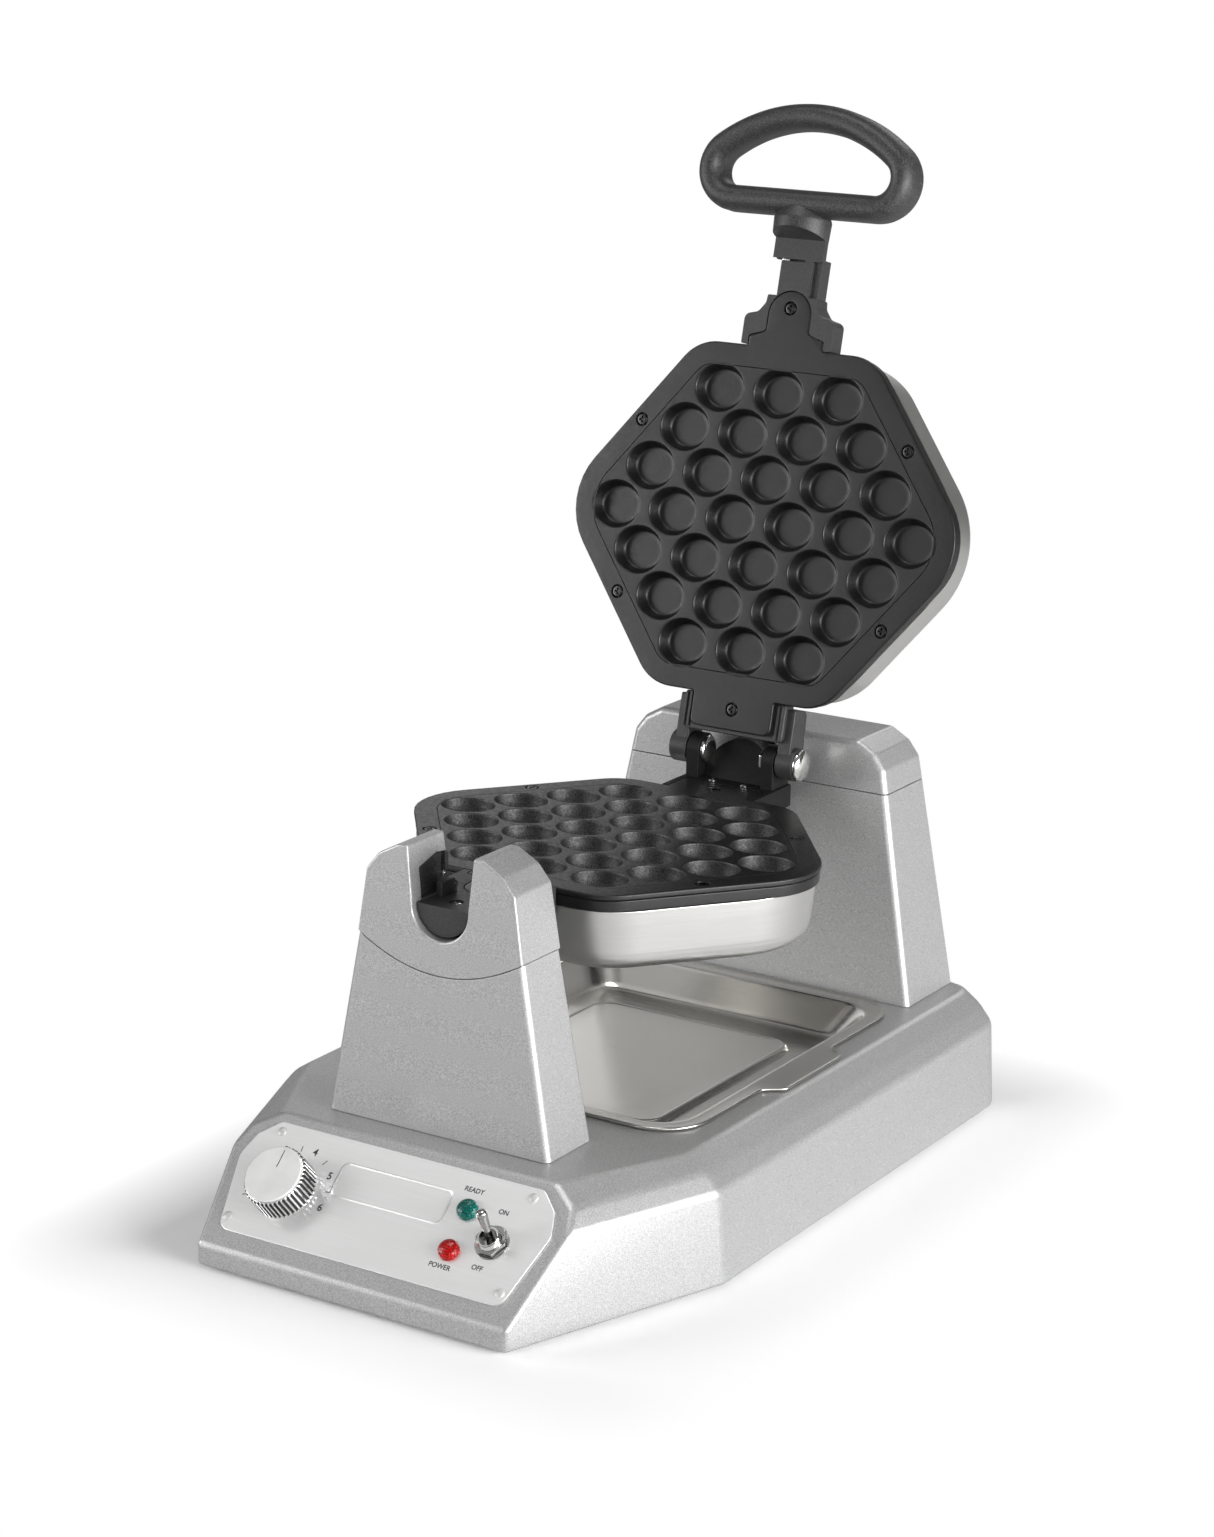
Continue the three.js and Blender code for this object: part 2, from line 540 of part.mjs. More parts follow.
// ---- rotor: z = 0 on the flip axis --------------------------------------------------------------
const shoulderOutline = () => {
  const right = [
    [14.3, -117.8], [14.8, -113.5], [18, -108.6], [26.2, -106.8], [26.2, HEX_END * -1 - GAP],
  ].map(([x, y]) => new THREE.Vector2(x, y));
  return [...right, ...right.map((p) => new THREE.Vector2(-p.x, p.y)).reverse()];
};

// Half a round bar along Y, above the mating plane.
const halfRound = (radius, y0, y1) =>
  cut(bar(radius, y0, y1, "y", 28), block(-50, 50, y0 - 1, y1 + 1, -50, GAP / 2));

function buildRotor() {
  // The trunnion is drawn upwards and turned over with the lower half.
  const journal = halfRound(JOURNAL_R, JOURNAL_FRONT_Y, -116);
  const trunnion = cut(
    join(journal, slab(shoulderOutline(), GAP / 2, 13), block(9.5, 13, -134.3, -121.5, -7, 2)),
    slab(frontTongue(GAP), -1, FLANGE_T + GAP),
    bar(SCREW_SHANK_R + 0.25, 0, 12, "z", 8).translate(...TONGUE_SCREWS.tongue_front, 0),
    bar(SCREW_HEAD_R + 0.25, -1, 2.4, "z", 10).translate(0, -136.2, 0),
  );
  part(lowerHalf, "front_trunnion", trunnion, CAST_BLACK);
  const setScrew = turned([[0, 0.9], [SCREW_HEAD_R, 0.9], [SCREW_HEAD_R, 2.1], [0, 2.1]], 10);
  part(lowerHalf, "trunnion_set_screw", setScrew, BRIGHT_STEEL).position.set(0, -136.2, 0);

  const lug = join(
    block(18.9, 26.2, HINGE_Y - 8.6, HINGE_Y + 8.6, -10, HINGE_UP),
    bar(8.6, 18.9, 26.2, "x", 20).translate(0, HINGE_Y, HINGE_UP),
  );
  const bracket = cut(
    join(block(-28, 28, HEX_END + GAP, HINGE_Y + 8.6, -12, -GAP / 2), lug, otherSide(lug)),
    block(-18.5, 18.5, 117, 140, -30, 30),
    slab(rearTongue(GAP), -FLANGE_T - GAP, 1),
    bar(SCREW_SHANK_R + 0.25, -14, 0, "z", 8).translate(...TONGUE_SCREWS.tongue_rear, 0),
    bar(HINGE_BOLT_R + 0.2, -40, 40, "x").translate(0, HINGE_Y, HINGE_UP),
  );
  part(rotor, "lower_hinge_bracket", bracket, CAST_BLACK);

  const rim = (y, lowest) =>
    arc(0, 0, HUB_R - 1.8, 0, 2 * Math.PI, 24).map((p) => [p.x, y, Math.min(p.y, lowest)]);
  const dome = hull([...rim(117.4, 0), ...rim(130, HUB_R)]);
  const hub = cut(
    join(dome, bar(HUB_R, 130.2, 138, "y", 24), bar(SHAFT_R, 129, 165.7, "y", 24)),
    bar(6, 134, 170, "y", 12),
  );
  part(rotor, "rotor_hub", hub, CAST_BLACK);

  // Both hinge bolts are put in from the right: a domed head on the right, a nut on the left.
  const onHinge = (name, shape) => {
    const mesh = part(rotor, name, shape, BRIGHT_STEEL);
    mesh.position.set(0, HINGE_Y, HINGE_UP);
    mesh.rotation.y = Math.PI / 2;
  };
  const bolt = (from, to, headR, rise) => turned([
    [0, from], [HINGE_BOLT_R, from], [HINGE_BOLT_R, to], [headR, to],
    [headR * 0.92, to + rise * 0.4], [headR * 0.6, to + rise * 0.85], [0, to + rise],
  ]);
  const nut = (from) => cut(bar(6.3, from, from + 2.4, "z", 6), bar(HINGE_BOLT_R + 0.15, from - 1, from + 4));
  onHinge("hinge_pin_left", bolt(-37, -18.5, 6.4, 3));
  onHinge("hinge_pin_right", bolt(15.4, 37.4, 8.3, 4));
  onHinge("hinge_nut_left", nut(-36.8));
  onHinge("hinge_nut_right", nut(16.2));
}

// ---- lid hardware, drawn closed -----------------------------------------------------------------
function buildLid() {
  const armSide = [[93, 6], [93, 19], [114, 21], [HINGE_Y, 20.6], [HINGE_Y, 7], [112, 6]];
  const arm = join(
    hull(armSide.flatMap(([y, z]) => [[26.8, y, z], [37, y, z]])),
    bar(7.7, 26.8, 37, "x", 20).translate(0, HINGE_Y, HINGE_UP),
  );
  const bracket = cut(
    join(block(-30, 30, HEX_END + GAP, 111, FLANGE_T + GAP, 12), arm, otherSide(arm)),
    bar(SCREW_SHANK_R + 0.25, 0, 12.5, "z", 8).translate(...TONGUE_SCREWS.tongue_rear, 0),
    bar(HINGE_BOLT_R + 0.2, -40, 40, "x").translate(0, HINGE_Y, HINGE_UP),
    bar(6.8, -38, -34.2, "x", 20).translate(0, HINGE_Y, HINGE_UP),
  );
  part(closedLid, "upper_hinge_bracket", bracket, CAST_BLACK);

  const handleArm = cut(
    join(
      halfRound(JOURNAL_R, -151.2, -136.5),
      block(-9, 9, -137, -116, GAP / 2, 9),
      slab(shoulderOutline(), GAP / 2, 13),
    ),
    slab(frontTongue(GAP), -1, FLANGE_T + GAP),
    bar(SCREW_SHANK_R + 0.25, 0, 12, "z", 8).translate(...TONGUE_SCREWS.tongue_front, 0),
    block(-16, 6, -138.1, -134.9, -1, 3.4),
  );
  part(closedLid, "handle_arm", handleArm, BLACK_PLASTIC);
  const pin = bar(1.3, -9.8, -4.8, "x", 10);
  part(closedLid, "latch_pin", pin, BRIGHT_STEEL).position.set(0, -136.5, 1.75);

  // D grip: two end arcs joined by a wide outer arc and a straight inner bar, plus a round collar.
  const endX = 41;
  const endY = -180.5;
  const outerR = 89;
  const outerY = -127.5;
  const dOutline = (inset) => {
    const tilt = Math.atan2(endX, outerY - endY);
    return [
      ...arc(endX, endY, GRIP_R - inset, -Math.PI / 2 + tilt, Math.PI / 2, 6),
      ...arc(-endX, endY, GRIP_R - inset, Math.PI / 2, (3 * Math.PI) / 2 - tilt, 6),
      ...arc(0, outerY, outerR - inset, (3 * Math.PI) / 2 - tilt, (3 * Math.PI) / 2 + tilt, 10).slice(1, -1),
    ];
  };
  const round = 5.4;
  const dShape = new THREE.Shape(dOutline(round));
  dShape.holes.push(new THREE.Path(dOutline(GRIP_BAR - round)));
  const ring = new THREE.ExtrudeGeometry(dShape, {
    depth: GRIP_DEPTH - 16,
    bevelThickness: 8,
    bevelSize: round,
    bevelSegments: 3,
  }).translate(0, 0, 8 - GRIP_DEPTH / 2);
  const collar = cut(
    bar(17.5, -168, -151.5, "y", 24),
    hull([-20, 20].flatMap((x) => [[x, -151, 0], [x, -151, -18.5], [x, -158.6, -18.5]])),
  );
  part(closedLid, "handle_grip", join(ring, collar), BLACK_PLASTIC);
}

buildBase();
buildFrontPillar();
buildRearPillar();
buildPanel();
buildTray();
buildHalf(lowerHalf, "lower", 12, 0.45);
buildHalf(closedLid, "upper", 7, 0.74);
buildRotor();
buildLid();

export default machine;
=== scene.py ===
"""Studio scene of a rotary bubble waffle iron: fine meshes and procedural materials on the CAD frame.

Shapes are drawn in millimetres in local frames (machine, panel, rotor, lid) that come from the
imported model, and are turned into metres in the row frame when a piece is made.
"""
import json
import math

import bmesh
import bpy
from mathutils import Matrix, Vector

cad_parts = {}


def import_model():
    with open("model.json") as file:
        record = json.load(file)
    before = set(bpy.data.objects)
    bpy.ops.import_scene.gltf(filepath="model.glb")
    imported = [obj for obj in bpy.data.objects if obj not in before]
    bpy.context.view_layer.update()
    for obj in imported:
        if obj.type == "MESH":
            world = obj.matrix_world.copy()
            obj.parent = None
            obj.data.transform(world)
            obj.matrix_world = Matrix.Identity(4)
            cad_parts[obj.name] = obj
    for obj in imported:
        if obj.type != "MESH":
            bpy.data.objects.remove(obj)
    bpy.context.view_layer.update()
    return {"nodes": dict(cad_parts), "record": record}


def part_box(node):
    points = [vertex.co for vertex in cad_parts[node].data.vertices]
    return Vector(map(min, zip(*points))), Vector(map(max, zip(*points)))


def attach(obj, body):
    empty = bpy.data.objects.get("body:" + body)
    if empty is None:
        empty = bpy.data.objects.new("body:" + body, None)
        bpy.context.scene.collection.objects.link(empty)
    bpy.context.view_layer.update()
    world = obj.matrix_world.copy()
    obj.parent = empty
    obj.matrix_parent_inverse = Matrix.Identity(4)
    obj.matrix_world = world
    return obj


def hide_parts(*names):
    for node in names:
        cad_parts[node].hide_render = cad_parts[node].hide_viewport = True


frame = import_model()

# ---- frames ----
MM = 0.001
JOINTS = {joint["name"]: joint for joint in frame["record"]["behaviour"]["joints"]}


def shift(x, y, z):
    return Matrix.Translation((x, y, z))


def box_mm(node):
    low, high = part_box(node)
    return low / MM, high / MM


SHELL_LOW, SHELL_HIGH = box_mm("lower_shell")
HOUSING_LOW, HOUSING_HIGH = box_mm("base_housing")
PLATE_Y = (SHELL_LOW.y + SHELL_HIGH.y) / 2
MACHINE = shift(0, PLATE_Y, HOUSING_LOW.z)
AXIS_Z = JOINTS["rotor_flip"]["pos_m"][2] / MM - HOUSING_LOW.z
HINGE_Y = JOINTS["lid_hinge"]["pos_m"][1] / MM - PLATE_Y
HINGE_UP = JOINTS["lid_hinge"]["pos_m"][2] / MM - HOUSING_LOW.z - AXIS_Z
LID_OPEN = math.radians(JOINTS["lid_hinge"]["range_deg"][1])
PANEL_SLOPE = math.atan2(-JOINTS["knob_turn"]["axis"][1], JOINTS["knob_turn"]["axis"][2])
BASE_FRONT_Y = HOUSING_LOW.y - PLATE_Y
BASE_H = HOUSING_HIGH.z - HOUSING_LOW.z
FASCIA_H = 11.3  # height of the front edge, where the panel's slope starts

PANEL = MACHINE @ shift(0, BASE_FRONT_Y, FASCIA_H) @ Matrix.Rotation(PANEL_SLOPE, 4, "X")
ROTOR = MACHINE @ shift(0, 0, AXIS_Z)
LOWER = ROTOR @ Matrix.Rotation(math.pi, 4, "Y")
TO_HINGE = shift(0, HINGE_Y, HINGE_UP)
LID = ROTOR @ TO_HINGE @ Matrix.Rotation(-LID_OPEN, 4, "X") @ TO_HINGE.inverted()

# ---- shared sizes, in millimetres ----
# GAP is left between mating plates and around seats. HEX_SLANT and HEX_END go from the plates' centre
# to the hexagon's slanting sides and to its front and rear ends. FLANGE_T is the plates' thickness at
# the edge. A shell starts at SHELL_TOP, curves in from SHELL_TURN and ends at SHELL_DEPTH.
GAP = 0.3
HEX_SLANT = 96.8
HEX_END = 91.0
CELL_PITCH_X = 35.0
CELL_PITCH_Y = 22.4
HEX_ANGLE = math.atan2(CELL_PITCH_X / 2, CELL_PITCH_Y)
CELL_RX = 14.4
CELL_RY = 12.6
ROW_COUNTS = (3, 4, 5, 6, 5, 4, 3)
FLANGE_T = 3.0
SHELL_TOP = 9.2
SHELL_TURN = 31.0
SHELL_DEPTH = 40.0
SHELL_ROUNDER = 16.0
JOURNAL_R = 14.6
NOTCH_R = 15.8
SCREW_PLACES = {
    "front_right": (79, -45.9),
    "front_left": (-79, -45.9),
    "rear_right": (79, 45.9),
    "rear_left": (-79, 45.9),
    "tongue_front": (0, -111.6),
    "tongue_rear": (0, 97.8),
}


# ---- materials ----
def add_node(tree, kind, inputs=(), **settings):
    """A shader node whose inputs are linked to sockets or set to values."""
    made = tree.nodes.new(kind)
    for key, value in settings.items():
        setattr(made, key, value)
    for socket, value in dict(inputs).items():
        if isinstance(value, bpy.types.NodeSocket):
            tree.links.new(value, made.inputs[socket])
        else:
            made.inputs[socket].default_value = value
    return made


class Look:
    """A material under construction: a principled shader and the nodes that feed it."""

    def __init__(self, name, **inputs):
        self.material = bpy.data.materials.new(name)
        self.material.use_nodes = True
        self.tree = self.material.node_tree
        self.shader = self.tree.nodes["Principled BSDF"]
        for socket, value in inputs.items():
            self.shader.inputs[socket.replace("_", " ")].default_value = value

    def node(self, kind, inputs=(), **settings):
        return add_node(self.tree, kind, inputs, **settings)

    def noise(self, scale, detail=2.0, stretch=(1, 1, 1)):
        """Noise in object space, so that its scale is in cells per metre."""
        place = self.node("ShaderNodeTexCoord").outputs["Object"]
        mapped = self.node("ShaderNodeMapping", {"Vector": place, "Scale": stretch})
        inputs = {"Vector": mapped.outputs[0], "Scale": scale, "Detail": detail}
        return self.node("ShaderNodeTexNoise", inputs).outputs["Fac"]

    def spread(self, value, low, high, start=0.35, end=0.65):
        """Maps a noise value from start..end to low..high."""
        inputs = {"Value": value, "From Min": start, "From Max": end, "To Min": low, "To Max": high}
        return self.node("ShaderNodeMapRange", inputs).outputs[0]

    def blend(self, factor, first, second):
        """A colour between two others."""
        mix = self.node("ShaderNodeMix", {"Factor": factor}, data_type="RGBA")
        mix.inputs[6].default_value = (*first, 1)
        mix.inputs[7].default_value = (*second, 1)
        return mix.outputs[2]

    def feed(self, socket, value):
        """Links a value to an input of the principled shader."""
        self.tree.links.new(value, self.shader.inputs[socket])
        return self

    def bump(self, height, strength, distance):
        inputs = {"Height": height, "Strength": strength, "Distance": distance}
        return self.feed("Normal", self.node("ShaderNodeBump", inputs).outputs[0])


PAINT_DARK = (0.38, 0.38, 0.382)
PAINT_LIGHT = (0.60, 0.60, 0.602)


def silver_paint():
    """Metallic paint: fine light and dark flakes under a satin skin."""
    look = Look("silver_paint", Metallic=0.6, Roughness=0.38)
    flake = look.noise(2300, 3)
    look.feed("Base Color", look.blend(look.spread(flake, 0, 1, 0.4, 0.6), PAINT_DARK, PAINT_LIGHT))
    look.feed("Roughness", look.spread(look.noise(700), 0.4, 0.48))
    return look.bump(flake, 0.12, 0.0001).material


def brushed_steel(name, grain, tint, rough, metallic=1.0):
    """Steel with fine lines; grain holds how often the lines repeat along each axis."""
    look = Look(name, Metallic=metallic)
    lines = look.noise(1.0, 3, grain)
    light = tuple(min(1, channel * 1.04) for channel in tint)
    look.feed("Base Color", look.blend(look.spread(lines, 0, 1), tint, light))
    return look.feed("Roughness", look.spread(lines, *rough)).material


def cast_coating(name, dark, light, rough, sparkle, **sheen):
    """Non-stick coating on cast metal: near black, with a fine sparkling grain."""
    look = Look(name, **sheen)
    grain = look.noise(1700, 4)
    look.feed("Base Color", look.blend(look.spread(grain, 0, 1), (dark,) * 3, (light,) * 3))
    look.feed("Roughness", look.spread(look.noise(500), *rough))
    return look.bump(grain, sparkle, 0.0002).material


def black_plastic():
    """Moulded plastic with a leathery grain whose raised tops are painted lighter, a painted highlight."""
    look = Look("black_plastic", Specular_IOR_Level=0.5)
    speck = look.noise(1500, 5)
    # the colour lightens where the grain rises: painted highlight on the grain's tops
    look.feed("Base Color", look.blend(look.spread(speck, 0, 1, 0.45, 0.7), (0.02,) * 3, (0.085,) * 3))
    look.feed("Roughness", look.spread(speck, 0.4, 0.55))
    return look.bump(speck, 0.4, 0.0004).material


def black_rubber():
    """Dull rubber with a fine grain."""
    look = Look("black_rubber", Roughness=0.8)
    grain = look.noise(900, 3)
    look.feed("Base Color", look.blend(look.spread(grain, 0, 1), (0.012,) * 3, (0.03,) * 3))
    return look.bump(grain, 0.2, 0.0002).material


def bright_steel(name="bright_steel", rough=(0.12, 0.2), tint=(0.72, 0.72, 0.70)):
    """Polished steel with faint smears."""
    look = Look(name, Metallic=1.0)
    smear = look.noise(600, 3)
    light = tuple(channel * 1.1 for channel in tint)
    look.feed("Base Color", look.blend(look.spread(smear, 0, 1), tint, light))
    look.feed("Roughness", look.spread(smear, *rough))
    return look.bump(smear, 0.05, 0.0001).material


def ivory_plastic():
    """Glossy light plastic."""
    look = Look("ivory_plastic", Roughness=0.22, Coat_Weight=0.5)
    tone = look.noise(90, 2)
    look.feed("Base Color", look.blend(look.spread(tone, 0, 1), (0.80, 0.80, 0.79), (0.87, 0.87, 0.86)))
    return look.bump(look.noise(1500), 0.03, 0.0001).material


def lens(name, deep, bright):
    """Moulded lens: a honeycomb of small cells under a clear skin."""
    look = Look(name, Roughness=0.25, Specular_IOR_Level=0.35, Coat_Weight=0.15, Coat_Roughness=0.03)
    place = look.node("ShaderNodeTexCoord").outputs["Object"]
    cells = look.node("ShaderNodeTexVoronoi", {"Vector": place, "Scale": 900.0, "Randomness": 0.25})
    distance = cells.outputs["Distance"]
    look.feed("Base Color", look.blend(look.spread(distance, 0, 1, 0.1, 0.6), bright, deep))
    return look.bump(distance, 0.35, 0.0006).material


def ink():
    """Printing ink, nearly black."""
    look = Look("ink", Roughness=0.5)
    tone = look.noise(2500, 2)
    return look.feed("Base Color", look.blend(look.spread(tone, 0, 1), (0.03,) * 3, (0.06,) * 3)).material


PAINT = silver_paint()
SHELL_STEEL = brushed_steel("shell_steel", (25, 25, 1800), (0.68, 0.675, 0.66), (0.33, 0.38))
TRAY_STEEL = brushed_steel("tray_steel", (40, 900, 40), (0.60, 0.59, 0.56), (0.2, 0.25))
PLATE_STEEL = brushed_steel("plate_steel", (30, 1500, 1500), (0.97, 0.97, 0.96), (0.3, 0.36), 0.6)
COATING = cast_coating("cast_coating", 0.004, 0.01, (0.34, 0.44), 0.35)
BOWL_COATING = cast_coating("bowl_coating", 0.04, 0.13, (0.5, 0.58), 0.6, Metallic=1.0)
CASTING = cast_coating("satin_casting", 0.024, 0.044, (0.42, 0.52), 0.3)
DARK_CASTING = cast_coating("dark_casting", 0.004, 0.01, (0.5, 0.6), 0.2, Specular_IOR_Level=0.22)
SCREW_STEEL = bright_steel("dark_screw_steel", (0.25, 0.35), (0.05, 0.05, 0.05))
PLASTIC = black_plastic()
RUBBER = black_rubber()
STEEL = bright_steel()
SWITCH_STEEL = bright_steel("switch_steel", (0.1, 0.18), (0.40, 0.40, 0.39))
RIVET_STEEL = brushed_steel("rivet_steel", (60, 60, 60), (0.62, 0.62, 0.61), (0.5, 0.55), 0.4)
CHROME = bright_steel("knob_chrome", (0.08, 0.14), (0.85, 0.85, 0.85))
IVORY = ivory_plastic()
GREEN = lens("green_lens", (0.0, 0.05, 0.042), (0.0, 0.26, 0.21))
RED = lens("red_lens", (0.25, 0.0, 0.0), (0.85, 0.008, 0.006))
INK = ink()


# ---- outlines, in millimetres ----
def arc(cx, cy, radius, start, end, steps):
    """Points on an arc, with its angles in degrees."""
    angles = [math.radians(start + (end - start) * i / steps) for i in range(steps + 1)]
    return [(cx + radius * math.cos(a), cy + radius * math.sin(a)) for a in angles]


def circle(radius, steps):
    return arc(0, 0, radius, 0, 360 - 360 / steps, steps - 1)


def rounded(corners, steps=6):
    """A closed outline from (x, y, radius) corners, each rounded with an arc of that radius."""
    outline = []
    for i, (x, y, radius) in enumerate(corners):
        here = Vector((x, y))
        back = (Vector(corners[i - 1][:2]) - here).normalized()
        ahead = (Vector(corners[(i + 1) % len(corners)][:2]) - here).normalized()
        half = back.angle(ahead) / 2
        if radius <= 0 or half > math.radians(89.5):
            outline.append((x, y))
            continue
        centre = here + (back + ahead).normalized() * (radius / math.sin(half))
        first = here + back * (radius / math.tan(half)) - centre
        last = here + ahead * (radius / math.tan(half)) - centre
        turn = first.angle_signed(last)
        for k in range(steps + 1):
            spot = centre + Matrix.Rotation(-turn * k / steps, 2) @ first
            outline.append((spot.x, spot.y))
    return outline


def both_sides(corners):
    """Corners of the right half, from front to back, completed with their mirror images."""
    return corners + [(-x, y, radius) for x, y, radius in reversed(corners)]


def hex_corners(inset=0.0, rounder=0.0):
    """Right side of the plates' hexagon, moved inwards by an inset; rounder adds to its corner radii."""
    slant, end = HEX_SLANT - inset, HEX_END - inset
    end_x = (slant - math.sin(HEX_ANGLE) * end) / math.cos(HEX_ANGLE)
    side, tip = 37 - inset + rounder, max(25 - inset, 2) + rounder
    return [(end_x, -end, tip), (slant / math.cos(HEX_ANGLE), 0, side), (end_x, end, tip)]


def hexagon(inset=0.0, steps=10, rounder=0.0):
    """The hexagon's outline, moved inwards by an inset."""
    return rounded(both_sides(hex_corners(inset, rounder)), steps)


def rectangle(half_x, half_y, radius, middle_y=0.0, steps=8):
    """A rectangle with round corners, centred across."""
    low, high = middle_y - half_y, middle_y + half_y
    return rounded(both_sides([(half_x, low, radius), (half_x, high, radius)]), steps)


def hexagon_head(radius):
    """Outline of a nut with a corner radius of 0.5."""
    return rounded([(x, y, 0.5) for x, y in circle(radius, 6)])


def front_tongue(grow=0.0):
    """Right side of the plate's front tongue, from its round tip to the hexagon."""
    tip = [(x, y, 0) for x, y in arc(0, -108, 12.5 + grow, -90, 0, 10)]
    return tip + [(12.5 + grow, -99, 2.5), (22 + grow, -96 - grow, 1.5)]


def plate_corners():
    """The hexagon with a round tongue at the front and a square one at the rear."""
    front = front_tongue() + [(22, -HEX_END, 1.0)]
    rear = [(24, HEX_END, 1.0), (24, 108.7, 4)]
    return both_sides(front + hex_corners() + rear)


# ---- mesh tools ----
def placed(name, data):
    """An object that is linked to the scene."""
    made = bpy.data.objects.new(name, data)
    bpy.context.collection.objects.link(made)
    return made


def mesh_of(name, bm):
    mesh = bpy.data.meshes.new(name)
    bm.to_mesh(mesh)
    bm.free()
    return mesh


def loft(loops, cap_first=True, cap_last=True, closed=False):
    """A surface through loops of 3-D points that all have the same count."""
    bm = bmesh.new()
    rings = [[bm.verts.new(point) for point in loop] for loop in loops]
    pairs = list(zip(rings, rings[1:])) + ([(rings[-1], rings[0])] if closed else [])
    for low, high in pairs:
        for i in range(len(low)):
            j = (i + 1) % len(low)
            bm.faces.new((low[i], low[j], high[j], high[i]))
    if cap_first and not closed:
        bm.faces.new(list(reversed(rings[0])))
    if cap_last and not closed:
        bm.faces.new(rings[-1])
    bmesh.ops.recalc_face_normals(bm, faces=bm.faces)
    return bm


def level(outline, z):
    """A flat outline raised to a height."""
    return [(x, y, z) for x, y in outline]


def prism(outline, z0, z1):
    return loft([level(outline, z0), level(outline, z1)])


def turned(profile, steps=48):
    """A solid turned about Z from (radius, height) pairs between its two ends."""
    return loft([level(circle(radius, steps), height) for radius, height in profile])


def block(x0, x1, y0, y1, z0, z1):
    return prism([(x0, y0), (x1, y0), (x1, y1), (x0, y1)], z0, z1)


def slab(outline, x0, x1):
    """A prism along X from an outline in Y and Z."""
    return loft([[(x, y, z) for y, z in outline] for x in (x0, x1)])


def moved(bm, matrix):
    bmesh.ops.transform(bm, matrix=matrix, verts=bm.verts)
    return bm


ALONG_Y = Matrix.Rotation(-math.pi / 2, 4, "X")
ALONG_X = Matrix.Rotation(math.pi / 2, 4, "Y")


def rod(radius, start, end, turn=Matrix.Identity(4), steps=48):
    """A cylinder along Z between two heights, then turned by a matrix."""
    return moved(turned([(radius, start), (radius, end)], steps), turn)


def hull_of(node):
    """The convex hull of a CAD node, in millimetres in the row frame."""
    bm = bmesh.new()
    for vertex in frame["nodes"][node].data.vertices:
        bm.verts.new(vertex.co / MM)
    bmesh.ops.remove_doubles(bm, verts=bm.verts, dist=0.01)
    made = bmesh.ops.convex_hull(bm, input=bm.verts)
    bmesh.ops.delete(bm, geom=list(set(made["geom_interior"] + made["geom_unused"])), context="VERTS")
    bmesh.ops.dissolve_limit(bm, angle_limit=math.radians(1.5), verts=bm.verts, edges=bm.edges)
    bmesh.ops.recalc_face_normals(bm, faces=bm.faces)
    return bm


def soften(bm, width, segments=3, above=30, where=None):
    """Rounds the edges whose faces meet above an angle, and whose middle passes a test if there is one."""
    limit = math.radians(above)
    edges = [edge for edge in bm.edges if len(edge.link_faces) == 2 and edge.calc_face_angle() > limit]
    if where:
        edges = [edge for edge in edges if where((edge.verts[0].co + edge.verts[1].co) / 2)]
    shape = {"segments": segments, "profile": 0.5, "clamp_overlap": True}
    bmesh.ops.bevel(bm, geom=edges, offset=width, affect="EDGES", **shape)
    return bm


def combined(first, second, how):
    """A boolean of two closed meshes: UNION or DIFFERENCE."""
    solid, tool = [placed("solid", mesh_of("solid", bm)) for bm in (first, second)]
    modifier = solid.modifiers.new("combine", "BOOLEAN")
    modifier.object = tool
    modifier.operation = how
    modifier.solver = "EXACT"
    result = bmesh.new()
    result.from_object(solid, bpy.context.evaluated_depsgraph_get())
    for made in (solid, tool):
        bpy.data.meshes.remove(made.data)
    bmesh.ops.dissolve_limit(result, angle_limit=math.radians(0.5), verts=result.verts, edges=result.edges)
    return result


def cut(first, *tools):
    """What is left of a solid once the others are taken away."""
    for tool in tools:
        first = combined(first, tool, "DIFFERENCE")
    return first


def join(first, *others):
    """One solid made of several."""
    for other in others:
        first = combined(first, other, "UNION")
    return first


def piece(name, bm, place, material, body, nodes=(), crease=35):
    """Makes a piece from a mesh in local millimetres, riding on a body in place of CAD nodes."""
    bmesh.ops.transform(bm, matrix=Matrix.Scale(MM, 4) @ place, verts=bm.verts)
    bmesh.ops.recalc_face_normals(bm, faces=bm.faces)
    mesh = mesh_of(name, bm)
    mesh.shade_smooth()
    mesh.set_sharp_from_angle(angle=math.radians(crease))
    mesh.materials.append(material)
    made = placed(name, mesh)
    made.modifiers.new("flat_faces", "WEIGHTED_NORMAL").keep_sharp = True
    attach(made, body)
    if nodes:
        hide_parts(*nodes)
    return made


# ---- base and pillars ----
WELL_HALF = (90.5, 104.5)
WELL_DEPTH = 25.4
TRAY_LOW, TRAY_HIGH = box_mm("drip_tray")
TRAY_Y = (TRAY_LOW.y + TRAY_HIGH.y) / 2


def base():
    """The housing: the CAD model's outside with round edges, the tray's well and a recess below."""
    top, bottom = HOUSING_HIGH.z, HOUSING_LOW.z
    well = prism(rectangle(*WELL_HALF, 22, TRAY_Y), top - WELL_DEPTH, top + 5)
    under = prism(rectangle(84, 170, 14, TRAY_Y), bottom - 5, bottom + 2)
    housing = cut(soften(hull_of("base_housing"), 2.6, 5, 12), well, under)
    piece("housing", housing, Matrix.Identity(4), PAINT, "base", ["base_housing"])


def pillar(outline, front_y, back_y, crisp):
    """A pillar part between two leaning faces; edges that pass the crisp test are hardly rounded."""
    bm = loft([[(x, front_y(z), z) for x, z in outline], [(x, back_y(z), z) for x, z in outline]])

    def on_face(at):
        return min(abs(at.y - front_y(at.z)), abs(at.y - back_y(at.z))) < 0.5

    soften(bm, 1.0, 3, 15, lambda at: not on_face(at) and not crisp(at))
    soften(bm, 3.4, 5, 45, lambda at: on_face(at) and not crisp(at))
    return soften(bm, 0.35, 2, 40, crisp)


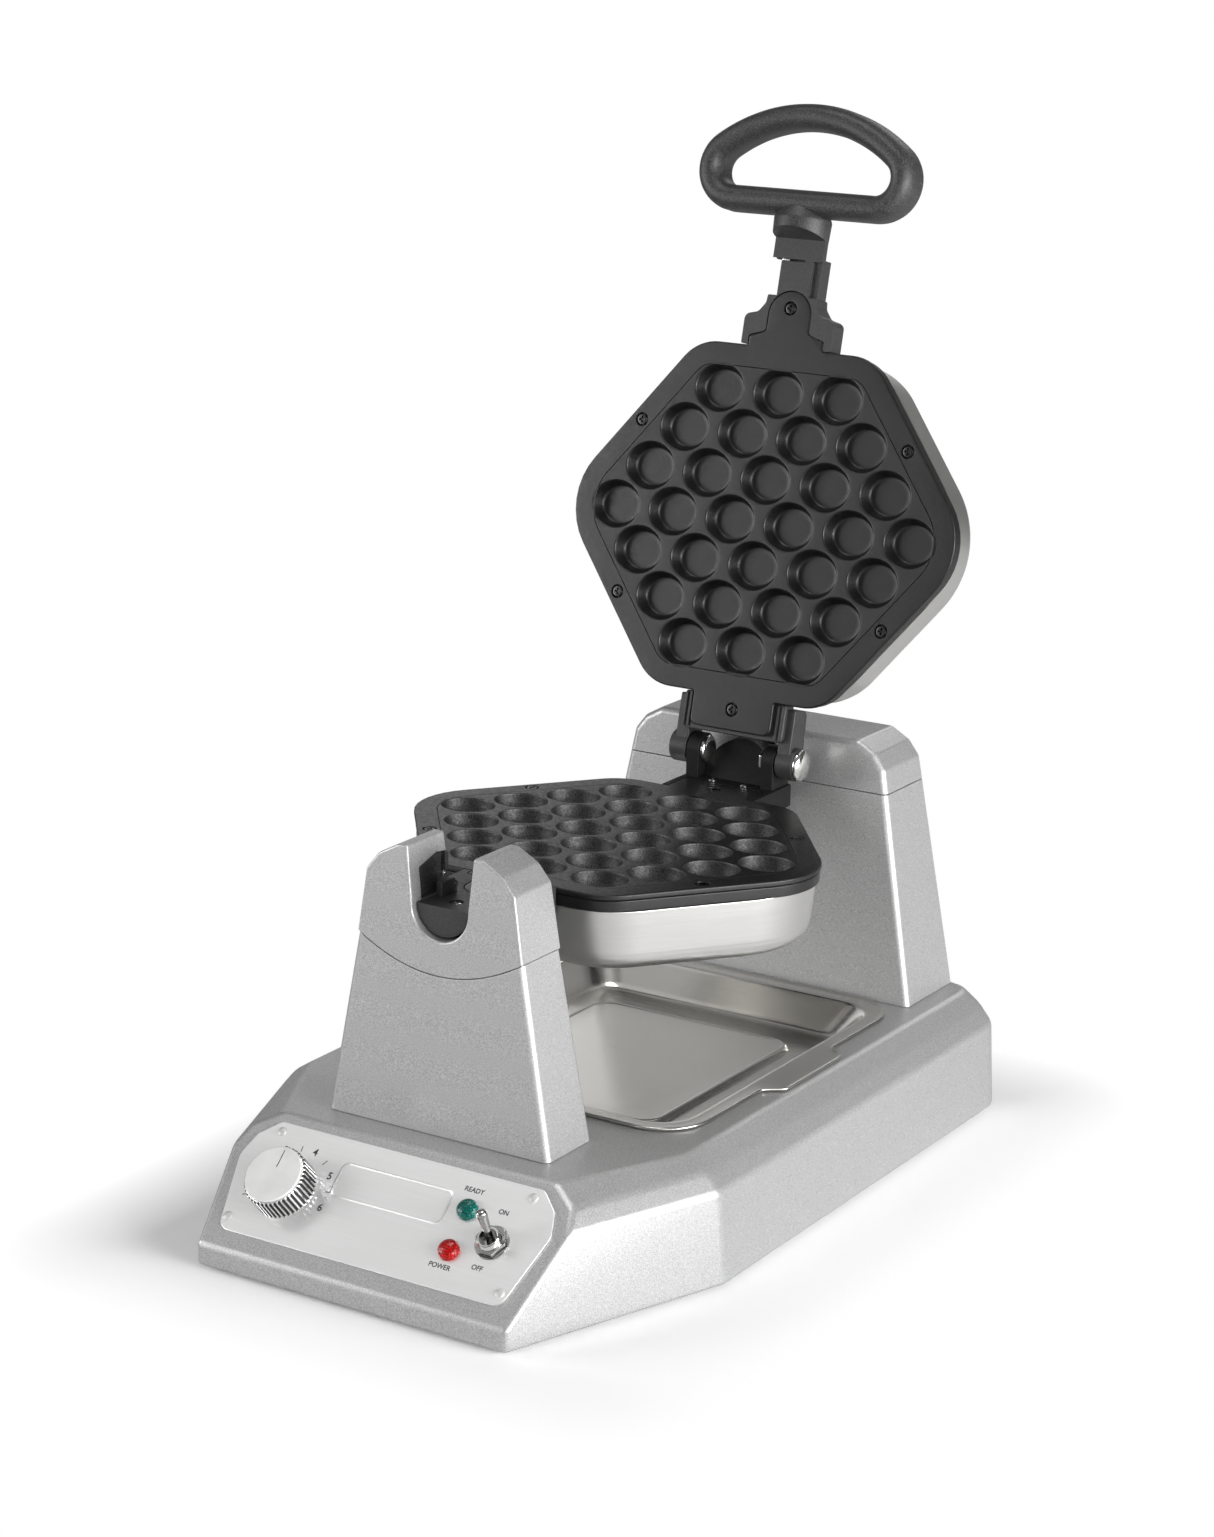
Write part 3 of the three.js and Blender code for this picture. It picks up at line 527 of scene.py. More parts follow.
SEAM_GAP = 0.2
FOOT_Z = BASE_H + 0.15


def leaning(foot_y, lean):
    """A face that starts at foot_y on the base and leans by a slope: gives its y at a height."""
    return lambda z: foot_y + (z - BASE_H) * lean


def front_pillar():
    """Body and notched head of the front pillar, and the lock's keeper in the head's side."""
    foot_half = 62.9
    seam_half, seam_z, seam_rise = 46.3, 139.9, 13.9

    faces = (leaning(-152.4, 0.0195), leaning(-114.7, -0.0346))

    def seam_at(x):
        return seam_z + seam_rise * (x / 46) ** 2

    def on_seam(at):
        return at.z < 154.5 and abs(at.z - seam_at(at.x)) < 1.5

    def on_seam_or_foot(at):
        return on_seam(at) or at.z < BASE_H + 1

    seam = [(x, seam_at(x)) for x in (seam_half * k / 8 for k in range(-8, 9))]
    lower = [(-foot_half, FOOT_Z), (foot_half, FOOT_Z)]
    lower += [(x, z - SEAM_GAP) for x, z in reversed(seam)]
    body = pillar(lower, *faces, on_seam_or_foot)
    piece("front_pillar_body", body, MACHINE, PAINT, "base", ["front_pillar"])

    notch = arc(0, AXIS_Z, NOTCH_R, 0, -180, 32)
    top_z = 199.8
    lip = [(NOTCH_R + 2.8, top_z), (NOTCH_R + 0.2, AXIS_Z + 3)]
    right = [(seam_half, 153.9), (41.5, 185.5), (34.7, 193.7), (23.5, top_z)]
    upper = [(x, z + SEAM_GAP) for x, z in seam[:-1]] + right + lip + notch
    upper += [(-x, z) for x, z in reversed(lip)] + [(-x, z) for x, z in reversed(right)][:-1]
    side = [(-142, 171, 0.8), (-142, 187.5, 0.8), (-127, 191.5, 0.8), (-112, 189, 0), (-112, 171, 0)]
    head = cut(pillar(upper, *faces, on_seam), slab(rounded(side), -21, -10))
    bmesh.ops.holes_fill(head, edges=head.edges, sides=6)
    piece("front_pillar_head", head, MACHINE, PAINT, "base", ["front_pillar_cap"])

    inset = [(-141.6, 171.4), (-141.6, 187.2), (-127, 191.0), (-120, 189.2), (-120, 171.4)]
    keeper = slab(rounded([(y, z, 0.6) for y, z in inset]), -20.6, -18.9)
    hook = block(-19.5, -16.8, -121.4, -118.6, 181, 190)
    keeper = join(soften(keeper, 0.4), soften(hook, 0.4))
    piece("keeper", keeper, MACHINE, PLASTIC, "base", ["lock_keeper"])
    tip = turned([(1.3, -19.2), (1.3, -17.6), (0.9, -16.9), (0.2, -16.6)], 24)
    piece("keeper_tip", tip, MACHINE @ shift(0, -121.5, 179.8) @ ALONG_X, STEEL, "base")


def rear_pillar():
    """Body and head of the rear pillar, with the seat of the hub's shaft."""
    seam_half, seam_z = 78.3, 171.9
    faces = (leaning(133.9, 0.0552), leaning(186, -0.0262))

    def crisp(at):
        return abs(at.z - seam_z) < 1 or at.z < BASE_H + 1

    seam_low = seam_z - SEAM_GAP
    lower = [(-99, FOOT_Z), (99, FOOT_Z), (seam_half, seam_low), (-seam_half, seam_low)]
    upper = [(seam_half, seam_z + SEAM_GAP), (76, 184.3), (70, 192.3), (59.7, 198.2)]
    upper += [(-x, z) for x, z in reversed(upper)]
    for name, outline, node in (("body", lower, "rear_pillar"), ("head", upper, "rear_pillar_cap")):
        seat = moved(rod(20.3, 120, 166, ALONG_Y), shift(0, 0, AXIS_Z))
        bm = cut(pillar(outline, *faces, crisp), seat)
        piece("rear_pillar_" + name, bm, MACHINE, PAINT, "base", [node])


# ---- control panel, in panel coordinates: across, up the slope, out of the panel ----
KNOB_AT = (-54, 36.5)
GREEN_AT = (42, 50)
RED_AT = (42.5, 29)
SWITCH_AT = (61.5, 38)
PLATE_TOP = 1.2
NUMBER_REACH = 22
NUMBER_SIZE = 5.2
WORD_SIZE = 3.4
TOGGLE_LEAN = math.radians(16)


def mark(name, text, across, up, size):
    """Printed characters that lie on the control plate."""
    curve = bpy.data.curves.new(name, "FONT")
    curve.body = text
    curve.size = size
    curve.align_x = "CENTER"
    curve.align_y = "CENTER"
    curve.extrude = 0.02
    curve.offset = size * 0.02
    letters = placed(name, curve)
    bpy.context.view_layer.update()
    bm = bmesh.new()
    bm.from_mesh(bpy.data.meshes.new_from_object(letters))
    bmesh.ops.remove_doubles(bm, verts=bm.verts, dist=0.0001)
    bmesh.ops.holes_fill(bm, edges=bm.edges, sides=8)
    bpy.data.objects.remove(letters)
    piece(name, moved(bm, shift(across, up, PLATE_TOP + 0.02)), PANEL, INK, "base")


def control_plate():
    """The plate with its rivets, a blank badge and the printed marks."""
    right = [(79.5, 9.7, 6.5), (88.3, 48, 8), (84.3, 60, 5), (74.5, 69, 4)]
    plate = prism(rounded(both_sides(right)), 0.2, PLATE_TOP)
    soften(plate, 0.35, 2, 40)
    piece("nameplate", plate, PANEL, PLATE_STEEL, "base", ["control_plate"])
    beads = ((0, 0.9), (0.3, 1.3), (0.9, 1.5), (1.5, 1.3), (1.8, 1.25))
    loops = [level(rectangle(32 - inset, 9.5 - inset, 4 - inset, 48.5), height) for inset, height in beads]
    piece("blank_badge", loft(loops), PANEL, PLATE_STEEL, "base")
    rivets = {
        "upper_left": (-72, 63.8),
        "lower_left": (-77.5, 16.4),
        "upper_right": (71, 63.8),
        "lower_right": (76.7, 16),
    }
    rivet = [(1.2, 0.9), (2.4, 1.0), (2.4, 1.4), (2.2, 1.7), (1.6, 2.0), (0.8, 2.15), (0.1, 2.2)]
    for name, at in rivets.items():
        dome = moved(turned(rivet, 32), shift(*at, 0))
        piece("rivet_" + name, dome, PANEL, RIVET_STEEL, "base", ["panel_rivet_" + name])
    for angle in (-8, 35, 79, -110):
        tick = soften(block(-0.22, 0.22, 20.2, 23.2, PLATE_TOP, PLATE_TOP + 0.04), 0.01, 1)
        turn = shift(*KNOB_AT, 0) @ Matrix.Rotation(-math.radians(angle), 4, "Z")
        piece("tick_%d" % (angle + 200), moved(tick, turn), PANEL, INK, "base")
    for number, angle in ((3, -31), (4, 13), (5, 57), (6, 101)):
        across = KNOB_AT[0] + NUMBER_REACH * math.sin(math.radians(angle))
        up = KNOB_AT[1] + NUMBER_REACH * math.cos(math.radians(angle))
        mark("number_%d" % number, str(number), across, up, NUMBER_SIZE)
    words = {"ready": (40.5, 60.1), "power": (41.4, 20.7), "on": (60, 53.4), "off": (60, 24.6)}
    for word, at in words.items():
        mark("mark_" + word, word.upper(), *at, WORD_SIZE)


def knob():
    """A turned skirt with bright ridges over black grooves, and a light face with a pointer line."""
    ridges = 44
    spots = 8
    place = PANEL @ shift(*KNOB_AT, 0)

    def ring(radius, height, depth):
        loop = []
        for i in range(ridges * spots):
            angle = 2 * math.pi * i / (ridges * spots)
            reach = radius - (depth if i % spots >= spots // 2 else 0)
            loop.append((reach * math.cos(angle), reach * math.sin(angle), height))
        return loop

    profile = [(14.6, 2.0, 0), (15.4, 2.2, 0), (15.9, 2.8, 0.9), (16.0, 3.4, 0.9)]
    profile += [(15.7, 14.6, 0.9), (15.3, 15.3, 0.5), (14.9, 15.7, 0), (14.7, 15.9, 0)]
    skirt = loft([ring(*spot) for spot in profile])
    for face in skirt.faces:
        centre = face.calc_center_median()
        turn = math.atan2(centre.y, centre.x) / (2 * math.pi) * ridges * spots % spots
        face.material_index = 1 if spots // 2 - 1 <= turn and 2.5 < centre.z < 15 else 0
    made = piece("knob_skirt", skirt, place, CHROME, "knob", ["thermostat_knob"], 50)
    made.data.materials.append(PLASTIC)
    face = turned([(14.4, 16.1), (14.5, 16.3), (14.5, 16.6), (14.2, 16.9), (13.9, 17.0)], 96)
    face = cut(face, block(-0.4, 0.4, 3.8, 13.0, 16.7, 18))
    piece("knob_top", face, place, IVORY, "knob", ["knob_face"])
    line = block(-0.3, 0.3, 3.9, 12.9, 16.66, 16.75)
    piece("knob_pointer", line, place, INK, "knob")


def lamps():
    """Two domed lenses."""
    radius, rim, rise = 5.1, 2.7, 2.8
    profile = [(4.0, -2), (4.4, -1.8), (4.4, 1.3), (5.3, 1.3), (5.3, 2.2), (radius, rim)]
    profile += [(radius * math.cos(a), rim + rise * math.sin(a)) for a in (0.15 * k for k in range(1, 10))]
    profile.append((0.1, rim + rise))
    lenses = (("ready", GREEN_AT, GREEN, "green_lens"), ("power", RED_AT, RED, "red_lens"))
    for name, at, material, slot in lenses:
        dome = moved(turned(profile, 64), shift(*at, 0))
        piece(name + "_lens", dome, PANEL, material, "base", [name + "_lamp"])


def toggle():
    """The switch: a threaded bushing with its nut and washer, and the lever."""
    place = PANEL @ shift(*SWITCH_AT, 0)
    threads = [(5.6 if k % 2 else 5.2, 1.3 + 0.45 * k) for k in range(12)]
    outside = [(5.0, -1)] + threads + [(5.2, 6.9), (4.7, 7.0)]
    inside = [(4.3, 6.9), (3.7, 2.0), (3.6, -1)]
    loops = [level(circle(radius, 48), height) for radius, height in outside + inside]
    piece("switch_bushing", loft(loops, closed=True), place, STEEL, "base", ["switch_body"])
    nut = cut(soften(prism(hexagon_head(8.1), 1.9, 4.4), 0.4, 3, 50), rod(5.85, 0, 6))
    piece("switch_hex_nut", nut, place, SWITCH_STEEL, "base", ["switch_nut"])
    washer = cut(soften(rod(8.6, 1.25, 1.75), 0.15, 2), rod(5.85, 0, 6))
    piece("switch_washer", washer, place, SWITCH_STEEL, "base")
    profile = [(0.3, -2.4), (1.9, -1.6), (2.4, 0), (2.1, 1.5), (1.7, 3), (1.9, 8), (2.5, 16), (2.65, 18)]
    profile += [(2.55, 19.1), (2.1, 19.9), (1.4, 20.3), (0.2, 20.4)]
    pivot = place @ shift(0, 0, 2) @ Matrix.Rotation(-TOGGLE_LEAN, 4, "X")
    bat = turned(profile, 40)
    piece("toggle_bat", bat, pivot, SWITCH_STEEL, "toggle", ["toggle_lever"])


# ---- drip tray ----
def tray():
    """A pressed pan: rim with two pull tabs, sloping walls, a channel and a raised platform."""
    side_x = 97.5
    tab = TRAY_HIGH.x - side_x
    tab_half, tab_ease = 37, 10.5
    floor = 16.8
    metal = 1.0

    def tab_share(along):
        share = min(1, max(0, (tab_half - abs(along)) / tab_ease))
        return share * share * (3 - 2 * share)

    def ring(half_x, half_y, radius, drop, reach=0.0, forward=0.0):
        """A rounded rectangle; reach pushes its sides out to the tabs, forward moves it to the front."""
        centre = TRAY_Y - forward
        right = arc(half_x - radius, centre - half_y + radius, radius, -90, 0, 12)
        steps = [tab_half * k / 18 for k in range(-18, 19)]
        right += [(half_x + reach * tab_share(along), TRAY_Y + along) for along in steps]
        right += arc(half_x - radius, centre + half_y - radius, radius, 0, 90, 12)
        return level(right + [(-x, y) for x, y in reversed(right)], TRAY_HIGH.z - drop)

    # insets and drops of the rim; then insets, radii and drops of the walls, and rises of the platform
    bead = ((1.0, 1.7), (0.3, 1.4), (0, 0.8), (0.3, 0.2), (0.9, 0.0), (1.6, 0.2), (2.2, 0.6))
    wall = ((0, 21, 0.7), (1.7, 20.5, 0.8), (2.9, 20, 1.4), (3.6, 19.6, 2.6), (12.3, 16.5, floor - 3.2),
            (13.7, 16, floor - 1.2), (15.7, 15, floor - 0.3), (18.5, 14, floor))
    step = ((0, 12.5, 0), (0.4, 12.2, 0.4), (1.0, 12, 1.6), (1.6, 11.6, 2.4), (2.4, 11.2, 2.7),
            (3.4, 10.8, 2.4), (4.0, 10.4, 2.1))
    half_x, half_y = WELL_HALF
    rim = [ring(side_x - inset, 111.5 - inset, 26 - inset, drop, tab) for inset, drop in bead]
    pan = [ring(half_x - inset, half_y - inset, radius, drop) for inset, radius, drop in wall]
    pan += [ring(60.6 - inset, 71.2 - inset, radius, floor - rise, 0, 4.5) for inset, radius, rise in step]
    pan.append(ring(46, 56, 8, floor - 2.1, 0, 4.5))
    under = [[(x, y, z - metal) for x, y, z in loop] for loop in reversed(pan)]
    pressed = loft(under + rim + pan)
    piece("tray", pressed, Matrix.Identity(4), TRAY_STEEL, "tray", ["drip_tray"], 60)


# ---- cooking halves: z = 0 on the mating plane, depth along +z ----
def cells():
    """Centres of the field of cells."""
    return [((i - (count - 1) / 2) * CELL_PITCH_X, (row - 3) * CELL_PITCH_Y)
            for row, count in enumerate(ROW_COUNTS) for i in range(count)]


def add_loop(bm, points):
    """A closed ring of vertices and edges."""
    ring = [bm.verts.new(point) for point in points]
    edges = [bm.edges.new((ring[i - 1], ring[i])) for i in range(len(ring))]
    return ring, edges


def bridge(bm, ring_a, ring_b):
    for i in range(len(ring_a)):
        bm.faces.new((ring_a[i - 1], ring_a[i], ring_b[i], ring_b[i - 1]))


def chain(bm, loops):
    """Loops bridged in a row. Returns the first loop's edges, and the last loop's vertices and edges."""
    rings = [add_loop(bm, loops[0])]
    for loop in loops[1:]:
        rings.append(add_loop(bm, loop))
        bridge(bm, rings[-2][0], rings[-1][0])
    return rings[0][1], rings[-1]


def fill(bm, *edge_sets):
    """Flat faces between closed rings of edges."""
    edges = [edge for edges in edge_sets for edge in edges]
    bmesh.ops.triangle_fill(bm, use_beauty=True, edges=edges)


def inset_outline(outline, by):
    """Moves an outline inwards, each point along its normal."""
    spots = []
    for i, (x, y) in enumerate(outline):
        back, ahead = Vector(outline[i - 1]), Vector(outline[(i + 1) % len(outline)])
        along = (ahead - back).normalized()
        spots.append((x - along.y * by, y + along.x * by))
    return spots


def sunk(bm, loops):
    """A closed hollow in a plate's face. Returns the edges of its rim."""
    rim_edges, (floor, _) = chain(bm, loops)
    bm.faces.new(floor)
    return rim_edges


def plate(cell_profile, depth):
    """A hexagonal plate with a field of elliptical cells; cell_profile holds (radius share, depth)."""
    top = GAP / 2
    bm = bmesh.new()
    outline = rounded(plate_corners(), 8)
    edge = [(0.9, top), (0.35, top + 0.15), (0.08, top + 0.45), (0, top + 0.9)]
    edge += [(0, FLANGE_T - 0.6), (0.6, FLANGE_T)]
    outer_edges, (_, back_edges) = chain(bm, [level(inset_outline(outline, by), z) for by, z in edge])

    groove = ((11.4, top), (11.65, top + 0.35), (11.9, top))
    groove_outer, (_, groove_inner) = chain(bm, [level(hexagon(inset), z) for inset, z in groove])

    rims = []
    for x, y in cells():
        loops = []
        for share, sink in cell_profile:
            ellipse = [(x + CELL_RX * across, y + CELL_RY * along) for across, along in circle(share, 56)]
            loops.append(level(ellipse, top + sink))
        rims.append(sunk(bm, loops))

    hole = ((3.95, 0), (3.7, 0.12), (3.6, 0.4), (3.6, 1.9))
    holes = [sunk(bm, [level(arc(*at, radius, 0, 345, 23), top + sink) for radius, sink in hole])
             for at in SCREW_PLACES.values()]
    fill(bm, outer_edges, groove_outer, *holes)
    fill(bm, groove_inner, *rims)

    body_edges, (bottom, _) = chain(bm, [level(hexagon(10), FLANGE_T), level(hexagon(10), depth + 3)])
    bm.faces.new(bottom)
    fill(bm, back_edges, body_edges)
    return bm


def screw_head(top=0.3, radius=2.95):
    """A Phillips head seen from z = 0, pointing down."""
    slot = radius * 0.62
    edge = ((0.5, 1.6), (0, 1.3), (0, 0.45), (0.25, 0.12), (0.9, 0.02), (radius - 0.6, 0))
    head = turned([(radius - inset, top + depth) for inset, depth in edge], 40)
    cross = [block(-x, x, -y, y, -1, top + 1.1) for x, y in ((slot, 0.5), (0.5, slot))]
    return cut(head, *cross)


def shell():
    """A drawn steel pan: wide corners, a slight draft, then a crease and a fillet to its bottom."""
    fillet = SHELL_DEPTH - SHELL_TURN
    crease = 2.9
    wall = 1.2
    outside = [(0.75, SHELL_TOP), (0.6, SHELL_TOP + 0.3), (2.6, SHELL_TURN - 0.5), (crease, SHELL_TURN)]
    outside += [(crease + fillet * (1 - math.cos(a)), SHELL_TURN + fillet * math.sin(a))
                for a in (math.radians(9 * k) for k in range(1, 11))]
    inside = [(inset + wall, min(z, SHELL_DEPTH - wall)) for inset, z in reversed(outside)]
    return loft([level(hexagon(inset, 20, SHELL_ROUNDER), z) for inset, z in inside + outside])


def cooking_half(prefix, place, body, cell_profile, depth):
    """A plate with its spacer ring, its pan and six screws."""
    made = piece(prefix + "_cooking_plate", plate(cell_profile, depth), place, COATING, body,
                 [prefix + "_plate"], 40)
    made.data.materials.append(BOWL_COATING)
    to_plate = (Matrix.Scale(MM, 4) @ place).inverted()
    for face in made.data.polygons:
        at = to_plate @ face.center
        in_cell = any(math.hypot((at.x - x) / CELL_RX, (at.y - y) / CELL_RY) < 1 for x, y in cells())
        if prefix == "lower" and in_cell and GAP < at.z < depth + 1:
            face.material_index = 1
    ring = cut(soften(prism(hexagon(0.8), 3.25, 9.0), 0.7, 3, 60), prism(hexagon(9), 0, 12))
    piece(prefix + "_spacer_ring", ring, place, COATING, body, [prefix + "_ring"], 50)
    piece(prefix + "_pan", shell(), place, SHELL_STEEL, body, [prefix + "_shell"], 50)
    for name, at in SCREW_PLACES.items():
        piece(prefix + "_cross_screw_" + name, moved(screw_head(), shift(*at, 0)), place, SCREW_STEEL, body,
              [prefix + "_screw_" + name])


def upper_profile():
    """A steep wall and a flat floor."""
    wall = [(1.05, 0), (1.02, 0.08), (0.995, 0.35), (0.98, 0.9), (0.86, 5.0)]
    return wall + [(0.83, 5.9), (0.79, 6.5), (0.74, 6.75), (0.6, 6.8)]


def lower_profile():
    """A smooth bowl."""
    lip = [(1.02, 0), (1.004, 0.1), (0.992, 0.45)]
    turns = [math.radians(8 * k) for k in range(11)]
    return lip + [(0.985 * math.cos(a), 0.9 + 11.1 * math.sin(a)) for a in turns]


# ---- rotor ----
SET_SCREW_Y = -136.2
PIN_Y = -136.5
PIN_Z = 1.75
LUG_HALF = 8.6
BOLT_R = 3.9


def below_mating_plane():
    """What the flat halves of the trunnion and the handle's arm leave out."""
    return block(-60, 60, -160, -80, -60, GAP / 2)


def shoulder():
    """The stepped block that widens a journal to the plate's tongue."""
    right = [(14.3, -117.8, 0), (14.8, -113.5, 3), (18.5, -108.6, 4), (26.2, -106.8, 3.6), (26.2, -91.4, 0)]
    return soften(prism(rounded(both_sides(right)), -5, 13), 0.8, 3, 50)


def tongue_recess():
    """The seat of the plate's front tongue."""
    return prism(rounded(both_sides(front_tongue(GAP) + [(22.3, -85, 0)])), -2, FLANGE_T + GAP)


def trunnion():
    """The rotor's front journal, flat on the mating side, with its set screw and a catch."""
    journal = soften(rod(JOURNAL_R, -147, -116, ALONG_Y, 72), 0.5, 2, 50)
    screw_hole = moved(rod(3.6, -1, 2.6, steps=32), shift(0, SET_SCREW_Y, 0))
    bm = cut(join(journal, shoulder()), below_mating_plane(), tongue_recess(), screw_hole)
    piece("trunnion", bm, LOWER, CASTING, "rotor", ["front_trunnion"], 40)
    catch = join(block(9.7, 12.9, -134.2, -123, -6.8, 0.4), block(9.7, 12.9, -124, -121.4, -3.6, 0.4))
    piece("latch_catch", soften(catch, 0.6, 3), LOWER, CASTING, "rotor")
    set_screw = moved(screw_head(0.9, 3.0), shift(0, SET_SCREW_Y, 0))
    piece("trunnion_screw", set_screw, LOWER, STEEL, "rotor", ["trunnion_set_screw"])


def lower_bracket():
    """A bed behind the lower plate with a lug on each side, and the two screws that hold the hub."""
    def lug(side):
        front, back, top = HINGE_Y - LUG_HALF, HINGE_Y + LUG_HALF, HINGE_UP + LUG_HALF
        profile = rounded([(front, -10, 0), (back, -10, 0), (back, top, 8.4), (front, top, 8.4)], 12)
        return soften(slab(profile, side * 18.9, side * 26.2), 0.6, 3, 50)

    bed = soften(block(-28, 28, HEX_END + GAP, HINGE_Y + LUG_HALF, -12, -GAP / 2), 0.6, 3, 50)
    rear_slot = prism(rectangle(24.3, 14.7, 4, 94.3), -FLANGE_T - GAP, 1)
    bm = join(bed, lug(1), lug(-1))
    bm = cut(bm, rear_slot, block(-18.5, 18.5, 117, 140, -30, 30))
    piece("lower_bracket", bm, ROTOR, DARK_CASTING, "rotor", ["lower_hinge_bracket"], 40)
    for name, x in (("left", -9.5), ("right", 9.5)):
        screw = moved(screw_head(0, 2.1), shift(x, 111.9, 0.7) @ Matrix.Rotation(math.pi, 4, "X"))
        piece("hub_screw_" + name, screw, ROTOR, STEEL, "rotor")


def hub():
    """A domed disc with a sloping front, on the shaft that turns in the rear pillar."""
    dome = [(18.6, 117.4), (19.4, 118.2), (20, 120), (20, 137.6), (19.6, 138.0)]
    disc = moved(turned(dome, 72), ALONG_Y)
    slope = block(-30, 30, -40, 0, -30, 60)
    lean = shift(0, 117.8, 0) @ Matrix.Rotation(-math.radians(30), 4, "X")
    bm = cut(join(disc, rod(14, 137, 165.7, ALONG_Y)), moved(slope, lean))
    piece("hub", bm, ROTOR, DARK_CASTING, "rotor", ["rotor_hub"], 40)


def hinge_bolts():
    """Two bolts along the hinge line, with their heads at their right ends and nuts at their left."""
    to_right = ROTOR @ TO_HINGE @ ALONG_X

    def bolt(name, start, end, head, reach):
        profile = [(BOLT_R - 0.4, start), (BOLT_R, start + 0.4), (BOLT_R, end)]
        profile += [(head * 0.97, end + 0.05), (head, end + 0.4)]
        turns = [math.radians(10 * k) for k in range(9)]
        profile += [(head * math.cos(a), end + 0.9 + reach * math.sin(a)) for a in turns]
        bm = turned(profile, 56)
        piece("pivot_bolt_" + name, bm, to_right, STEEL, "rotor", ["hinge_pin_" + name], 50)

    def nut(name, start, end):
        bm = cut(soften(prism(hexagon_head(6.3), start, end), 0.4, 2, 50), rod(BOLT_R + 0.1, -50, 50))
        piece("pivot_nut_" + name, bm, to_right, STEEL, "rotor", ["hinge_nut_" + name])

    bolt("left", -37.0, -18.6, 7.3, 2.2)
    bolt("right", 15.4, 37.4, 8.3, 3.0)
    nut("left", -36.8, -34.4)
    nut("right", 16, 18.6)


# ---- lid hardware, drawn closed ----
def lid_bracket():
    """A ribbed plate under the rear tongue, with an arm and a round boss on each side."""
    def arm(side):
        end_y = HINGE_Y + 6
        corners = [(93, 6, 1), (93, 19, 3), (114, 21, 4), (end_y, 20.6, 5), (end_y, 7, 5), (112, 6, 3)]
        bar = soften(slab(rounded(corners, 8), side * 26.9, side * 34.4), 0.6, 3, 45)
        boss = rod(8.6, 26.9, 37, ALONG_X if side > 0 else ALONG_X.inverted(), 56)
        return join(bar, moved(soften(boss, 0.6, 3, 45), TO_HINGE))

    nut_recess = moved(rod(6.8, -38, -34.2, ALONG_X, 40), TO_HINGE)
    front = HEX_END + GAP
    corners = [(30, front, 0), (30, 111, 3), (-30, 111, 3), (-30, front, 0)]
    plate_seat = soften(prism(rounded(corners), 3.3, 12), 0.6, 3, 50)
    ribs = [block(x - 0.7, x + 0.7, HEX_END + 1, 110, 2.4, 4) for x in (-29, -26.2, 26.2, 29)]
    ribs = [soften(rib, 0.3, 2) for rib in ribs]
    bm = cut(join(plate_seat, arm(1), arm(-1), *ribs), nut_recess)
    piece("upper_bracket", bm, LID, CASTING, "lid", ["upper_hinge_bracket"], 40)


def handle_arm():
    """The lid's journal, flat on the mating side, with a slot across it for the lock pin."""
    journal = soften(rod(JOURNAL_R, -151.2, -136.5, ALONG_Y, 72), 0.5, 2, 50)
    neck = block(-9.2, 9.2, -138, -110, -5, 9)
    side_strip = block(8, 13.6, -138, -110, 2.5, 12)
    bm = join(journal, soften(neck, 0.5, 2), soften(side_strip, 0.5, 2), shoulder())
    pin_slot = moved(rod(1.75, -30, 4.5, ALONG_X, 24), shift(0, PIN_Y + 0.2, PIN_Z))
    bm = cut(bm, below_mating_plane(), tongue_recess(), pin_slot)
    piece("arm", bm, LID, CASTING, "lid", ["handle_arm"], 40)
    pin = turned([(0.2, -9.8), (0.8, -9.6), (1.2, -9.0), (1.3, -8.4), (1.3, -5.0), (1.0, -4.8)], 32)
    pin = moved(pin, shift(0, PIN_Y, PIN_Z) @ ALONG_X)
    piece("latch_rod", pin, LID, STEEL, "latch", ["latch_pin"])


def grip():
    """A closed D-shaped ring with a straight bar, on a turned collar that is cut back under it."""
    end_x, end_y, end_r = 41, -180.5, 22
    outer_r, outer_y = 89, -127.5
    tilt = math.degrees(math.atan2(end_x, outer_y - end_y))
    across, thick = 6.9, 11.4
    fullness = 0.86
    steps = 28

    def outline(inset):
        right = arc(end_x, end_y, end_r - inset, -90 + tilt, 90, 24)
        bar = [(end_x - 2 * end_x * k / 24, end_y + end_r - inset) for k in range(1, 24)]
        left = arc(-end_x, end_y, end_r - inset, 90, 270 - tilt, 24)
        top = arc(0, outer_y, outer_r - inset, 270 - tilt, 270 + tilt, 36)[1:-1]
        return right + bar + left + top

    def swell(value):
        return math.copysign(abs(value) ** fullness, value)

    loops = []
    for k in range(steps):
        angle = 2 * math.pi * k / steps
        parting = 0.25 if k in (0, steps // 2) else 0
        inset = across - (across - parting) * swell(math.cos(angle))
        loops.append(level(outline(inset), thick * swell(math.sin(angle))))
    profile = [(6, -169), (10.8, -164), (14.6, -158.4), (15.1, -157)]
    profile += [(14.9, -152), (14.7, -147.8), (14.4, -147.4)]
    collar = moved(turned(profile, 64), ALONG_Y)
    slant = [(-147.4, GAP / 2), (-157.6, -30.4), (-100, -30.4), (-100, GAP / 2)]
    bm = join(loft(loops, closed=True), cut(collar, slab(slant, -30, 30)))
    piece("grip", bm, LID, PLASTIC, "lid", ["handle_grip"], 45)


# ---- pieces kept from the CAD model ----
# material and width of the round edges
KEPT = {
    "bottom_cover": (PAINT, 0.3),
    "foot_front_left": (RUBBER, 0.8),
    "foot_front_right": (RUBBER, 0.8),
    "foot_rear_left": (RUBBER, 0.8),
    "foot_rear_right": (RUBBER, 0.8),
    "cord_strain_relief": (RUBBER, 0.5),
    "power_cord": (RUBBER, 0.3),
    "rear_bearing": (STEEL, 0.3),
    "thermostat": (STEEL, 0.5),
    "lower_heater": (CASTING, 0.3),
    "upper_heater": (CASTING, 0.3),
}


